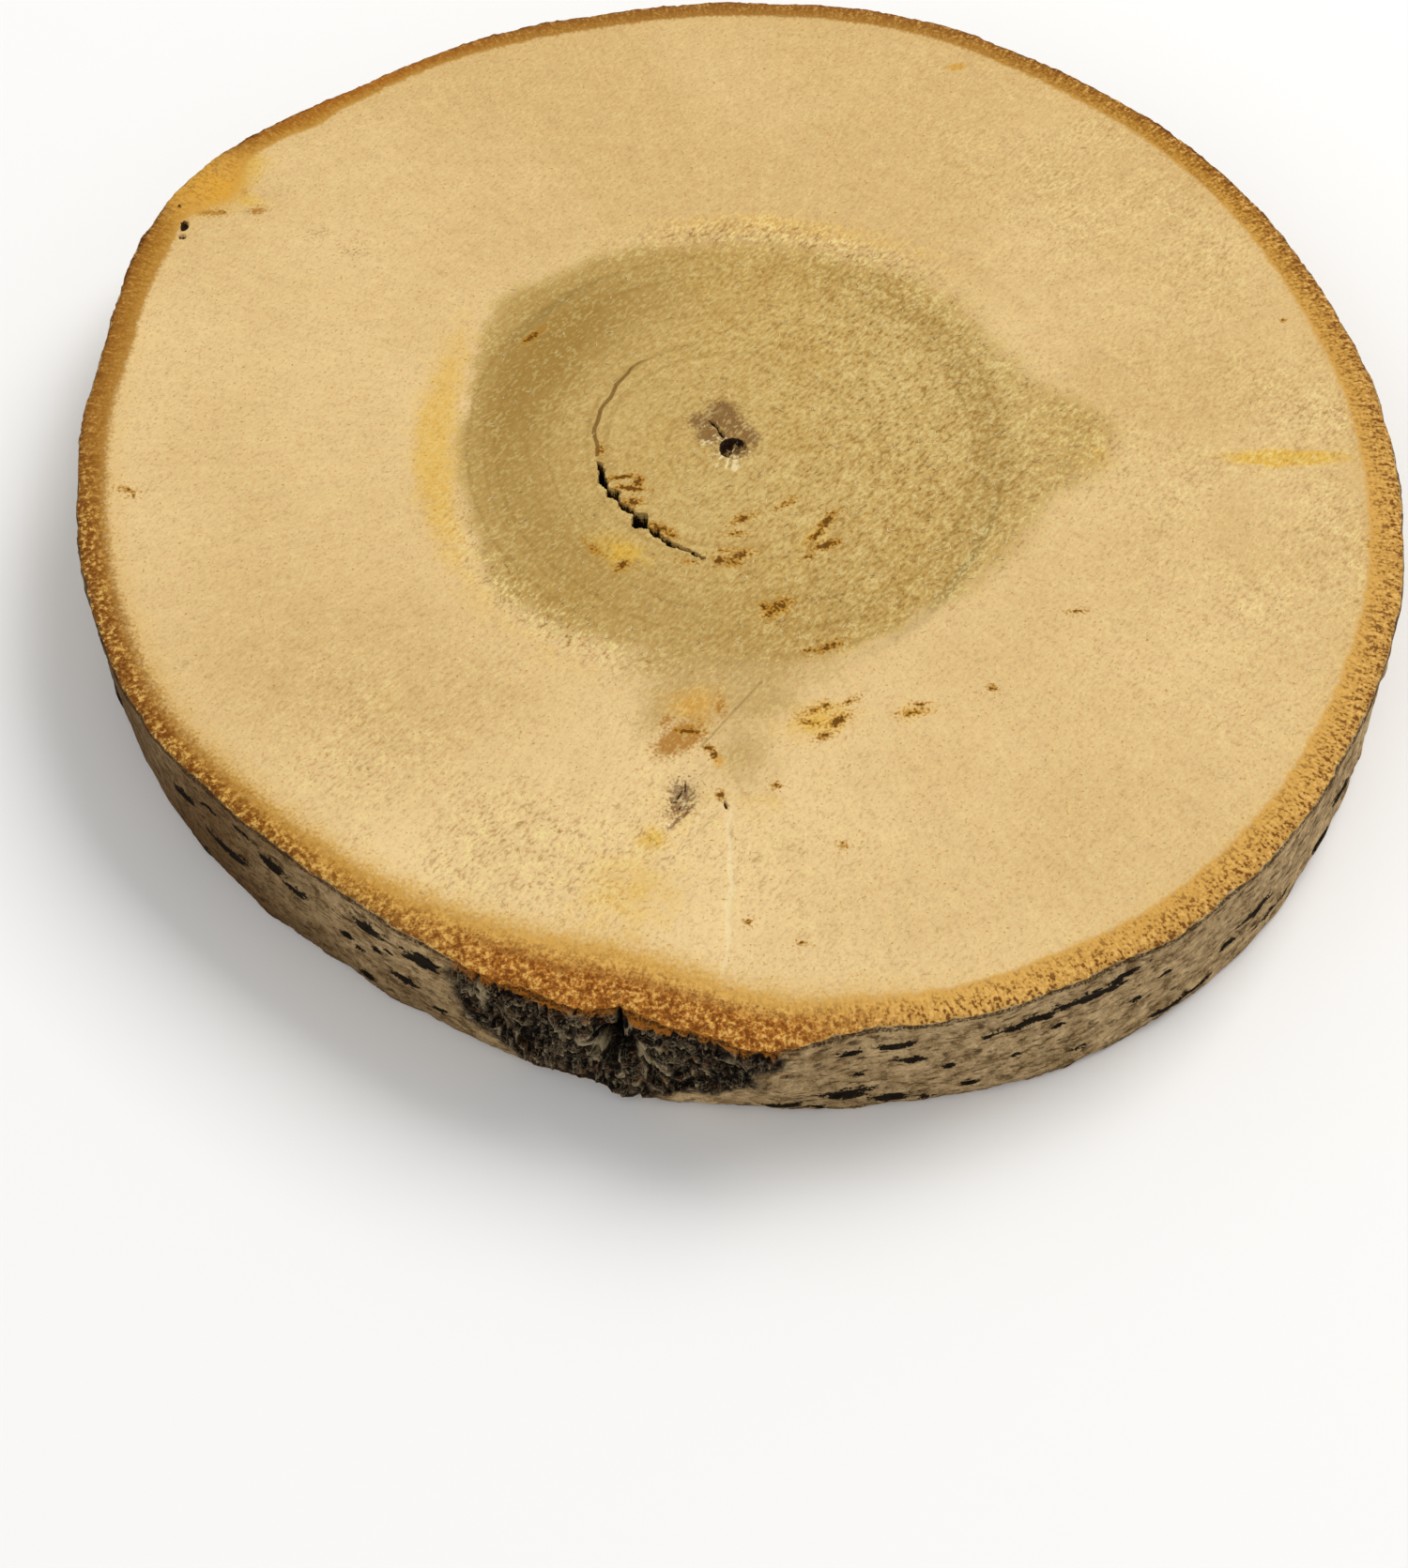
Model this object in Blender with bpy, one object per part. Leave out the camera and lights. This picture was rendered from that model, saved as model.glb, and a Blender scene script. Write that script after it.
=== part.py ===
"""Wood slice: a disc sawn straight across a smooth-barked branch, with its bark still on.

Wood and bark grew together, so the slice is one solid. It lies flat on its sawn underside,
with its origin at the middle of its box on that side, +Z up, and -Y towards the old bark scar.
"""
import math
import random
from collections import namedtuple

import bmesh
import bpy
from mathutils import Matrix, Vector, noise

MM = 0.001

# Driving dimensions of the slice
MEAN_RADIUS = 56.0 * MM
THICKNESS = 11.7 * MM
NODE_NAME = "wood_slice"

# Fineness of the bark skin: steps round the slice and steps up it
SKIN_SEGMENTS = 300
SKIN_ROWS = 14

# Lobes of the outline: place and half width in degrees, rise at the sawn top and at the base
Lobe = namedtuple("Lobe", "angle half_width top_rise base_rise")
LOBES = {
    "branch shoulder": Lobe(148.0, 25.0, 2.9 * MM, 2.6 * MM),
    "left flat": Lobe(-160.0, 42.0, -0.9 * MM, -1.2 * MM),
    "lower left flat": Lobe(-125.0, 29.0, -2.0 * MM, -1.6 * MM),
    "scar lip": Lobe(-88.0, 8.0, 1.2 * MM, 0.0),
    "lower right belly": Lobe(-59.0, 46.0, 1.9 * MM, 2.7 * MM),
    "right flat": Lobe(19.0, 52.0, -1.35 * MM, -1.3 * MM),
    "far lobe": Lobe(75.0, 22.0, 0.6 * MM, 0.5 * MM),
    "far left lobe": Lobe(118.0, 14.0, 0.4 * MM, 0.3 * MM),
}

# Smooth bark: long swellings, small lumps, and a ragged edge where the saw left it
SWELLING = (9.0 * MM, 0.30 * MM)
LUMPS = (2.6 * MM, 0.16 * MM)
CHIPS = (1.7 * MM, 0.55 * MM)
CHIP_REACH = 1.3 * MM

# Lenticels: the raised cross dashes of smooth bark. Those on the side with the scar have set
# angles in degrees, heights and half lengths in millimetres; chance spreads the others round the back
FRONT_LENTICELS = (
    (-142.3, 7.6, 1.5), (-137.0, 5.8, 2.4), (-131.6, 8.6, 1.7), (-128.9, 7.4, 1.2),
    (-141.5, 1.6, 1.4), (-120.9, 9.4, 1.3), (-115.7, 9.2, 1.6), (-117.8, 4.6, 1.2),
    (-121.7, 2.0, 1.1), (-87.0, 1.5, 1.3), (-81.9, 3.0, 1.7), (-78.7, 1.6, 1.5),
    (-82.1, 9.2, 1.1), (-78.5, 9.4, 1.4), (-77.3, 7.1, 1.1), (-68.4, 8.6, 2.6),
    (-63.4, 9.2, 3.0), (-54.8, 1.6, 2.9), (-47.1, 6.0, 2.1), (-44.6, 3.0, 2.2),
)
BACK_LENTICELS = 70
BACK_START = -36.0
BACK_END = 205.0
LENTICEL_SEED = 7
LENTICEL_HALF_LENGTH = (1.3, 2.6)
LENTICEL_HALF_HEIGHT = 0.65 * MM
LENTICEL_RISE = 0.34 * MM
LENTICEL_MARGIN = 1.4 * MM

# Scar: an eye-shaped patch of rough old bark in plates, split and holed in the middle
SCAR_ANGLE = -98.5
SCAR_HALF_WIDTH = 15.5
SCAR_HEIGHT = 8.0 * MM
SCAR_HALF_HEIGHT = 9.2 * MM
SCAR_EDGE = 0.22
PLATE_SIZE = 3.4 * MM
PLATE_LAYERS = 1.5
PLATE_RISE = 1.5 * MM
PLATE_GAP = 0.16
PLATE_FLOOR = -0.35 * MM
HOLE_ANGLE = -99.2
HOLE_HEIGHT = 7.4 * MM
HOLE_RADIUS = 1.5 * MM
HOLE_DEPTH = 2.4 * MM
SPLIT_HALF_WIDTH = 0.7 * MM
SPLIT_DEPTH = 0.6 * MM

# Pith: the small open channel that the branch grew round
PITH_PLACE = (-0.5 * MM, -1.0 * MM)
PITH_RADIUS = 1.1 * MM
PITH_TIP_RADIUS = 0.6 * MM
PITH_DEPTH = 2.6 * MM
PITH_SIDES = 20

# Ring shake: the crack that opened along one growth ring as the wood dried
SHAKE_START = 118.0
SHAKE_END = 262.0
SHAKE_RADIUS = 12.0 * MM
SHAKE_RADIUS_AT_END = 13.4 * MM
SHAKE_WIDTH = 0.75 * MM
SHAKE_TIP_WIDTH = 0.15 * MM
SHAKE_DEPTH = 3.6 * MM
SHAKE_STEPS = 48

# Knot: the sunken trace of a small side shoot
KNOT_PLACE = (-4.6 * MM, -36.3 * MM)
KNOT_RADIUS = 2.3 * MM
KNOT_DEPTH = 0.7 * MM
KNOT_SIDES = 20

# How far every cutter stands clear of the face that it cuts
CLEARANCE = 1.0 * MM

WOOD_COLOUR = (0.76, 0.56, 0.25, 1.0)
WOOD_ROUGHNESS = 0.72
SHARP_ANGLE = math.radians(50.0)


def smooth_step(low, high, value):
    """Rise smoothly from 0 at low to 1 at high."""
    part = min(max((value - low) / (high - low), 0.0), 1.0)
    return part * part * (3.0 - 2.0 * part)


def turn_between(angle, other):
    """Signed turn in degrees from other to angle, between -180 and 180."""
    return (angle - other + 180.0) % 360.0 - 180.0


def outline_radius(angle, height):
    """Radius of the slice without its bark texture, from the mean radius and the lobes."""
    radius = MEAN_RADIUS
    up = height / THICKNESS
    for lobe in LOBES.values():
        turn = abs(turn_between(angle, lobe.angle))
        if turn < lobe.half_width:
            rise = lobe.base_rise + (lobe.top_rise - lobe.base_rise) * up
            radius += rise * 0.5 * (1.0 + math.cos(math.pi * turn / lobe.half_width))
    return radius


def skin_point(angle, height, radius=MEAN_RADIUS):
    """Place on the round skin at an angle in degrees and a height."""
    turn = math.radians(angle)
    return Vector((radius * math.cos(turn), radius * math.sin(turn), height))


def plain_noise(angle, height, size, amount):
    """Soft lumps of one size and height on the skin."""
    return amount * noise.noise(skin_point(angle, height) / size)


def place_lenticels():
    """Angle, height and half length of every lenticel."""
    lenticels = [(angle, height * MM, half_length * MM) for angle, height, half_length in FRONT_LENTICELS]
    dice = random.Random(LENTICEL_SEED)
    for index in range(BACK_LENTICELS):
        angle = BACK_START + (index + dice.uniform(-0.4, 0.4)) * (BACK_END - BACK_START) / BACK_LENTICELS
        height = dice.uniform(LENTICEL_MARGIN, THICKNESS - LENTICEL_MARGIN)
        half_length = dice.uniform(*LENTICEL_HALF_LENGTH) * MM
        lenticels.append((angle, height, half_length))
    return lenticels


def lenticel_relief(angle, height, lenticels):
    """Height of the tallest lenticel ridge at a place on the skin."""
    tallest = 0.0
    for place, middle, half_length in lenticels:
        across = math.radians(turn_between(angle, place)) * MEAN_RADIUS / half_length
        up = (height - middle) / LENTICEL_HALF_HEIGHT
        tallest = max(tallest, 1.0 - across * across - up * up)
    return LENTICEL_RISE * math.sqrt(tallest)


def scar_share(angle, height):
    """1 inside the scar, 0 outside it, smooth across its edge."""
    across = turn_between(angle, SCAR_ANGLE) / SCAR_HALF_WIDTH
    up = (height - SCAR_HEIGHT) / SCAR_HALF_HEIGHT
    return smooth_step(0.0, SCAR_EDGE, 1.0 - math.hypot(across, up))


def scar_relief(angle, height):
    """Plates of old bark with gaps between them, a hole, and a split from the hole to the rim."""
    point = skin_point(angle, height * PLATE_LAYERS) / PLATE_SIZE
    distances = noise.voronoi(point)[0]
    plate = smooth_step(0.0, PLATE_GAP, distances[1] - distances[0])
    tilt = 0.5 + 0.5 * noise.noise(point)
    relief = PLATE_FLOOR + PLATE_RISE * plate * tilt
    across = math.radians(turn_between(angle, HOLE_ANGLE)) * MEAN_RADIUS
    hole = math.hypot(across, height - HOLE_HEIGHT) / HOLE_RADIUS
    relief -= HOLE_DEPTH * math.exp(-hole ** 4)
    if height > HOLE_HEIGHT:
        relief -= SPLIT_DEPTH * math.exp(-(across / SPLIT_HALF_WIDTH) ** 2)
    return relief


def bark_relief(angle, height, lenticels):
    """How far the bark stands out from the plain outline."""
    smooth_bark = plain_noise(angle, height, *SWELLING) + plain_noise(angle, height, *LUMPS)
    smooth_bark += lenticel_relief(angle, height, lenticels)
    share = scar_share(angle, height)
    relief = smooth_bark + share * scar_relief(angle, height)
    from_edge = min(height, THICKNESS - height)
    chips = abs(plain_noise(angle, height, *CHIPS))
    return relief - chips * (1.0 - smooth_step(0.0, CHIP_REACH, from_edge))


def shape_disc(mesh):
    """Turn a plain cylinder into the lobed, barky disc, with both sawn faces left flat."""
    lenticels = place_lenticels()
    for vert in mesh.verts:
        angle = math.degrees(math.atan2(vert.co.y, vert.co.x))
        height = vert.co.z
        radius = outline_radius(angle, height) + bark_relief(angle, height, lenticels)
        vert.co = skin_point(angle, height, radius)


def make_disc():
    """The slice as a closed mesh round its own axis, with its base at height 0."""
    mesh = bmesh.new()
    bmesh.ops.create_cone(
        mesh, cap_ends=True, segments=SKIN_SEGMENTS, radius1=MEAN_RADIUS, radius2=MEAN_RADIUS,
        depth=THICKNESS, matrix=Matrix.Translation((0.0, 0.0, THICKNESS / 2)))
    upright = [edge for edge in mesh.edges if abs(edge.verts[0].co.z - edge.verts[1].co.z) > THICKNESS / 2]
    bmesh.ops.subdivide_edges(mesh, edges=upright, cuts=SKIN_ROWS - 1)
    shape_disc(mesh)
    return mesh


def middle_of(mesh):
    """The middle of a mesh's box, seen from above."""
    across = [vert.co.x for vert in mesh.verts]
    along = [vert.co.y for vert in mesh.verts]
    return Vector(((min(across) + max(across)) / 2, (min(along) + max(along)) / 2, 0.0))


def make_pith_cutter(face_height, inward):
    """A short cone that opens the pith on one sawn face; inward is -1 from the top, 1 from the base."""
    mesh = bmesh.new()
    depth = PITH_DEPTH + CLEARANCE
    radii = (PITH_TIP_RADIUS, PITH_RADIUS) if inward < 0 else (PITH_RADIUS, PITH_TIP_RADIUS)
    middle = face_height + inward * (depth / 2 - CLEARANCE)
    bmesh.ops.create_cone(
        mesh, cap_ends=True, segments=PITH_SIDES, radius1=radii[0], radius2=radii[1], depth=depth,
        matrix=Matrix.Translation((*PITH_PLACE, middle)))
    return mesh


def make_shake_cutter(face_height, inward):
    """A thin blade, bent along the growth ring, that opens the ring shake on one sawn face."""
    mesh = bmesh.new()
    bmesh.ops.create_cube(mesh, size=1.0)
    along = [edge for edge in mesh.edges if abs(edge.verts[0].co.x - edge.verts[1].co.x) > 0.5]
    bmesh.ops.subdivide_edges(mesh, edges=along, cuts=SHAKE_STEPS - 1)
    for vert in mesh.verts:
        part = vert.co.x + 0.5
        angle = SHAKE_START + (SHAKE_END - SHAKE_START) * part
        opening = SHAKE_TIP_WIDTH + (SHAKE_WIDTH - SHAKE_TIP_WIDTH) * math.sin(math.pi * part)
        ring = SHAKE_RADIUS + (SHAKE_RADIUS_AT_END - SHAKE_RADIUS) * smooth_step(0.55, 1.0, part)
        # The cube's side towards the open air stands clear of the face, and the other goes in
        reach = -CLEARANCE if vert.co.z * inward < 0 else SHAKE_DEPTH
        vert.co = skin_point(angle, face_height + inward * reach, ring + vert.co.y * opening)
    bmesh.ops.recalc_face_normals(mesh, faces=mesh.faces)
    return mesh


def make_knot_cutter():
    """A ball that presses the knot's shallow dish into the top face."""
    ball_radius = (KNOT_RADIUS ** 2 + KNOT_DEPTH ** 2) / (2 * KNOT_DEPTH)
    mesh = bmesh.new()
    place = Matrix.Translation((*KNOT_PLACE, THICKNESS - KNOT_DEPTH + ball_radius))
    bmesh.ops.create_uvsphere(
        mesh, u_segments=KNOT_SIDES, v_segments=KNOT_SIDES * 2, radius=ball_radius, matrix=place)
    return mesh


def add_object(name, mesh, collection, shift):
    """Put a mesh in the scene, moved so that the slice's box is centred on the origin."""
    bmesh.ops.translate(mesh, verts=mesh.verts, vec=-shift)
    data = bpy.data.meshes.new(name)
    mesh.to_mesh(data)
    mesh.free()
    item = bpy.data.objects.new(name, data)
    collection.objects.link(item)
    return item


def add_cutter(name, mesh, collection, shift):
    """Put a cutter in the scene, as a guide that isn't part of the slice."""
    item = add_object(name, mesh, collection, shift)
    item.hide_render = True
    item.display_type = "WIRE"


def add_collection(name):
    """A new collection in the scene."""
    collection = bpy.data.collections.new(name)
    bpy.context.scene.collection.children.link(collection)
    return collection


def make_material():
    """Pale sawn wood."""
    material = bpy.data.materials.new("sawn_wood")
    material.use_nodes = True
    shader = material.node_tree.nodes["Principled BSDF"]
    shader.inputs["Base Color"].default_value = WOOD_COLOUR
    shader.inputs["Roughness"].default_value = WOOD_ROUGHNESS
    shader.inputs["Metallic"].default_value = 0.0
    return material


def main():
    """Build the slice and cut its pith, ring shake and knot."""
    for item in list(bpy.data.objects):
        bpy.data.objects.remove(item, do_unlink=True)
    parts = add_collection("Wood slice")
    cutters = add_collection("Cutters")

    disc = make_disc()
    shift = middle_of(disc)
    wood_slice = add_object(NODE_NAME, disc, parts, shift)
    wood_slice.data.materials.append(make_material())
    wood_slice.data.shade_smooth()
    wood_slice.data.set_sharp_from_angle(angle=SHARP_ANGLE)

    for side, face_height, inward in (("top", THICKNESS, -1), ("base", 0.0, 1)):
        add_cutter(f"pith_{side}", make_pith_cutter(face_height, inward), cutters, shift)
        add_cutter(f"ring_shake_{side}", make_shake_cutter(face_height, inward), cutters, shift)
    add_cutter("knot_dish", make_knot_cutter(), cutters, shift)

    openings = wood_slice.modifiers.new("Pith, shake and knot", "BOOLEAN")
    openings.operation = "DIFFERENCE"
    openings.operand_type = "COLLECTION"
    openings.collection = cutters
    openings.solver = "EXACT"


main()
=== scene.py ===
"""Looks of a wood slice: sawn pale wood with a stained heart, inside its smooth grey bark.

Lengths inside the classes are in millimetres and angles in degrees, round the branch's own axis,
with 0 along +X and -90 towards the old bark scar. Meshes are turned to metres at the end.
"""
import logging
import math
import random
from collections.abc import Iterator
from contextlib import contextmanager
from dataclasses import dataclass, field
from enum import Enum
from functools import cached_property

import bpy
import numpy as np
from mathutils import Matrix, Vector, noise
from mathutils.bvhtree import BVHTree


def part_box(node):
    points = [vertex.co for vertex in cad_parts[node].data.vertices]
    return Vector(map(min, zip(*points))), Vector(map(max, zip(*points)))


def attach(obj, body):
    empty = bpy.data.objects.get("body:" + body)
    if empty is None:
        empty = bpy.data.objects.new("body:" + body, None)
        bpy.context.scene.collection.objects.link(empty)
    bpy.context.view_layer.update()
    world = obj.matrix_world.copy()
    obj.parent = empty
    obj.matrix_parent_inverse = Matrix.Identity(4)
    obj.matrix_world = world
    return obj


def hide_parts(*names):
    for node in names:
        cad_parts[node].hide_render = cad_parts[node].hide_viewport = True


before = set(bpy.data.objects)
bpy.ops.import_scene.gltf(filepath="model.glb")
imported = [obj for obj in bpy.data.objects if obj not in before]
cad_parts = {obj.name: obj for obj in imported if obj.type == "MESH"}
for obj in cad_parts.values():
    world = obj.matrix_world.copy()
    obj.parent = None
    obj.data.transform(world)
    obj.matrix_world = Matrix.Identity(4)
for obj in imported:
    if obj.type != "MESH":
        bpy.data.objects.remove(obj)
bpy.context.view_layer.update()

Array = np.ndarray
Item = bpy.types.Object
Socket = bpy.types.NodeSocket

MM = 0.001
NODE = "wood_slice"
BODY = "root"
MEAN_RADIUS = 56.0
SHARP_ANGLE = 55.0
SCAR_EDGE = 0.01
SAW_TURN = 50.0

log = logging.getLogger("wood_slice")


class Side(Enum):
    """The two sawn faces."""

    TOP = 1
    BASE = -1


class Ink(Enum):
    """What colours a mark on the sawn wood. The value is the mark's attribute on the mesh."""

    FLECK = "fleck"
    # Painted shade: near black in cracks, holes and the pith's hollow, which are also dented
    DARK = "dark"
    YELLOW = "yellow"
    ORANGE = "orange"
    BROWN = "ochre"
    PLUM = "plum"
    GREY = "grey"
    PALE = "pale"
    TAN = "tan"


@dataclass(frozen=True)
class Lobe:
    """A swelling or hollow that rises and falls once round part of the slice."""

    angle: float
    half_width: float
    rise: float

    def at(self, angles: Array) -> Array:
        """Height of the lobe at some angles.

        Args:
            angles: places round the slice, in degrees.

        Returns:
            The lobe's height at each, in the units of its rise.
        """
        turn = np.abs(turn_between(angles, self.angle))
        wave = 0.5 * (1.0 + np.cos(np.pi * np.minimum(turn / self.half_width, 1.0)))
        return self.rise * wave


def lobe_sum(lobes: tuple[Lobe, ...], angles: Array) -> Array:
    """Height of several lobes together at some angles."""
    return sum(lobe.at(angles) for lobe in lobes)


@dataclass(frozen=True)
class Places:
    """Points over a sawn face, measured from the branch's axis."""

    x: Array
    y: Array

    @classmethod
    def around(cls, angles: Array, radii: float | Array) -> "Places":
        """Points at some angles round the slice and distances from the axis."""
        turns = np.radians(angles)
        return cls(radii * np.cos(turns), radii * np.sin(turns))

    @cached_property
    def angles(self) -> Array:
        """Degrees round the slice."""
        return np.degrees(np.arctan2(self.y, self.x))

    @cached_property
    def radii(self) -> Array:
        """Distances from the axis."""
        return np.hypot(self.x, self.y)

    def raised(self, height: float | Array = 0.0) -> Array:
        """The points at some height, as rows of three numbers."""
        return np.stack([self.x, self.y, np.broadcast_to(height, self.x.shape)], axis=1)


@dataclass(frozen=True)
class Mark:
    """One coloured mark on the sawn top, placed by the photograph's pixel at its middle."""

    ink: Ink
    pixel: tuple[float, float]
    half_length: float
    half_width: float
    turn: float = 0.0
    strength: float = 1.0


def turn_between(angles: Array, other: float) -> Array:
    """Signed turn from other to each angle, between -180 and 180 degrees."""
    return (angles - other + 180.0) % 360.0 - 180.0


def arc_from(angles: Array, other: float) -> Array:
    """Millimetres along the skin from one angle to each other angle."""
    return np.radians(turn_between(angles, other)) * MEAN_RADIUS


def smooth_step(low: float, high: float, values: Array) -> Array:
    """Rise smoothly from 0 at low to 1 at high."""
    part = np.clip((values - low) / (high - low), 0.0, 1.0)
    return part * part * (3.0 - 2.0 * part)


def lump_noise(points: Array, size: float, octaves: int = 1) -> Array:
    """Soft noise between about -1 and 1.

    Args:
        points: places, as rows of three numbers in millimetres.
        size: width of a lump in millimetres.
        octaves: how many finer layers it has, each half the size and height.

    Returns:
        The noise at each place.
    """
    scaled = points / size
    total = np.zeros(len(points))
    for octave in range(octaves):
        step = 2.0 ** octave
        total += [noise.noise(Vector(p)) / step for p in scaled * step]
    return total


def linear(colour: str) -> tuple[float, float, float, float]:
    """Turn an sRGB hex colour into Blender's linear colour.

    Args:
        colour: the hex colour.

    Returns:
        Red, green, blue and alpha.
    """
    channels = [int(colour[i:i + 2], 16) / 255.0 for i in (1, 3, 5)]
    light = [c / 12.92 if c <= 0.04045 else ((c + 0.055) / 1.055) ** 2.4 for c in channels]
    return (*light, 1.0)


def deselect_all() -> None:
    """Leave nothing selected, so that an operator acts only on what is selected next."""
    bpy.ops.object.select_all(action="DESELECT")


def activate(*items: Item) -> Item:
    """Select only these objects and make the first one active.

    Args:
        items: the objects.

    Returns:
        The first of them.
    """
    deselect_all()
    for item in items:
        item.select_set(True)
    bpy.context.view_layer.objects.active = items[0]
    return items[0]


@contextmanager
def editing(kind: str | None = None) -> Iterator[None]:
    """Work on the active mesh in edit mode.

    Args:
        kind: whether vertices, edges or faces are selected, if that matters.
    """
    bpy.ops.object.mode_set(mode="EDIT")
    if kind:
        bpy.ops.mesh.select_mode(type=kind)
    yield
    bpy.ops.object.mode_set(mode="OBJECT")


def read_rows(elements: bpy.types.bpy_prop_collection, name: str) -> Array:
    """Read a place that each vertex or face has.

    Args:
        elements: a mesh's vertices or faces.
        name: the property's name.

    Returns:
        The places, as rows of three numbers.
    """
    rows = np.zeros(len(elements) * 3)
    elements.foreach_get(name, rows)
    return rows.reshape(-1, 3)


def places_of(item: Item) -> Array:
    """Every vertex place of a mesh object, as rows of three numbers."""
    return read_rows(item.data.vertices, "co")


def move_to(item: Item, places: Array) -> None:
    """Put every vertex of a mesh object at its new place."""
    item.data.vertices.foreach_set("co", places.ravel())
    item.data.update()


def keep_fields(item: Item, fields: dict[str, Array]) -> None:
    """Store numbers for each vertex, which the materials read by name.

    Args:
        item: the mesh object.
        fields: a number for each vertex, under each field's name.
    """
    for name, values in fields.items():
        attribute = item.data.attributes.new(name, "FLOAT", "POINT")
        attribute.data.foreach_set("value", values.astype(np.float32))


def select_only(item: Item, part: str, chosen: Array) -> None:
    """Select exactly some edges or faces of a mesh, in object mode.

    Args:
        item: the mesh object.
        part: "edges" or "polygons".
        chosen: whether each of them is selected.
    """
    for name in ("vertices", "edges", "polygons"):
        elements = getattr(item.data, name)
        elements.foreach_set("select", chosen if name == part else np.zeros(len(elements), bool))
    item.data.update()


@dataclass(frozen=True)
class PhotoCamera:
    """The photograph's camera, and where its pixels fall on the sawn top."""

    width: int = 1500
    height: int = 1671
    focal_pixels: float = 2761.0
    sensor: float = 36.0
    place: tuple[float, float, float] = (-2.80, -146.24, 175.63)
    pitch: float = 55.85
    roll: float = 0.35

    def axes(self) -> tuple[Vector, Vector, Vector]:
        """The camera's own directions.

        Returns:
            Right, up and forward.
        """
        pitch = math.radians(self.pitch)
        roll = math.radians(self.roll)
        forward = Vector((0.0, math.cos(pitch), -math.sin(pitch)))
        level = Vector((1.0, 0.0, 0.0))
        lift = level.cross(forward)
        right = level * math.cos(roll) + lift * math.sin(roll)
        return right, right.cross(forward), forward

    def on_top(self, pixel: tuple[float, float], thickness: float) -> tuple[float, float]:
        """Where a pixel of the photograph falls on the sawn top, from the branch's axis.

        Args:
            pixel: across and down, in the photograph's frame.
            thickness: height of the sawn top in millimetres.

        Returns:
            X and Y in millimetres.
        """
        right, up, forward = self.axes()
        across = (pixel[0] - self.width / 2) / self.focal_pixels
        down = (pixel[1] - self.height / 2) / self.focal_pixels
        ray = forward + right * across - up * down
        reach = (thickness - self.place[2]) / ray.z
        return self.place[0] + ray.x * reach, self.place[1] + ray.y * reach

    def add(self, axis: Vector) -> None:
        """Add the camera to the scene.

        Args:
            axis: the branch's axis in the frame, in metres.
        """
        data = bpy.data.cameras.new("photo_camera")
        data.sensor_width = self.sensor
        data.lens = self.focal_pixels * self.sensor / max(self.width, self.height)
        data.clip_start = 10.0 * MM
        right, up, forward = self.axes()
        camera = bpy.data.objects.new("photo_camera", data)
        turn = Matrix((right, up, -forward)).transposed().to_4x4()
        camera.matrix_world = Matrix.Translation(axis + Vector(self.place) * MM) @ turn
        bpy.context.scene.collection.objects.link(camera)
        bpy.context.scene.camera = camera


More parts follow.
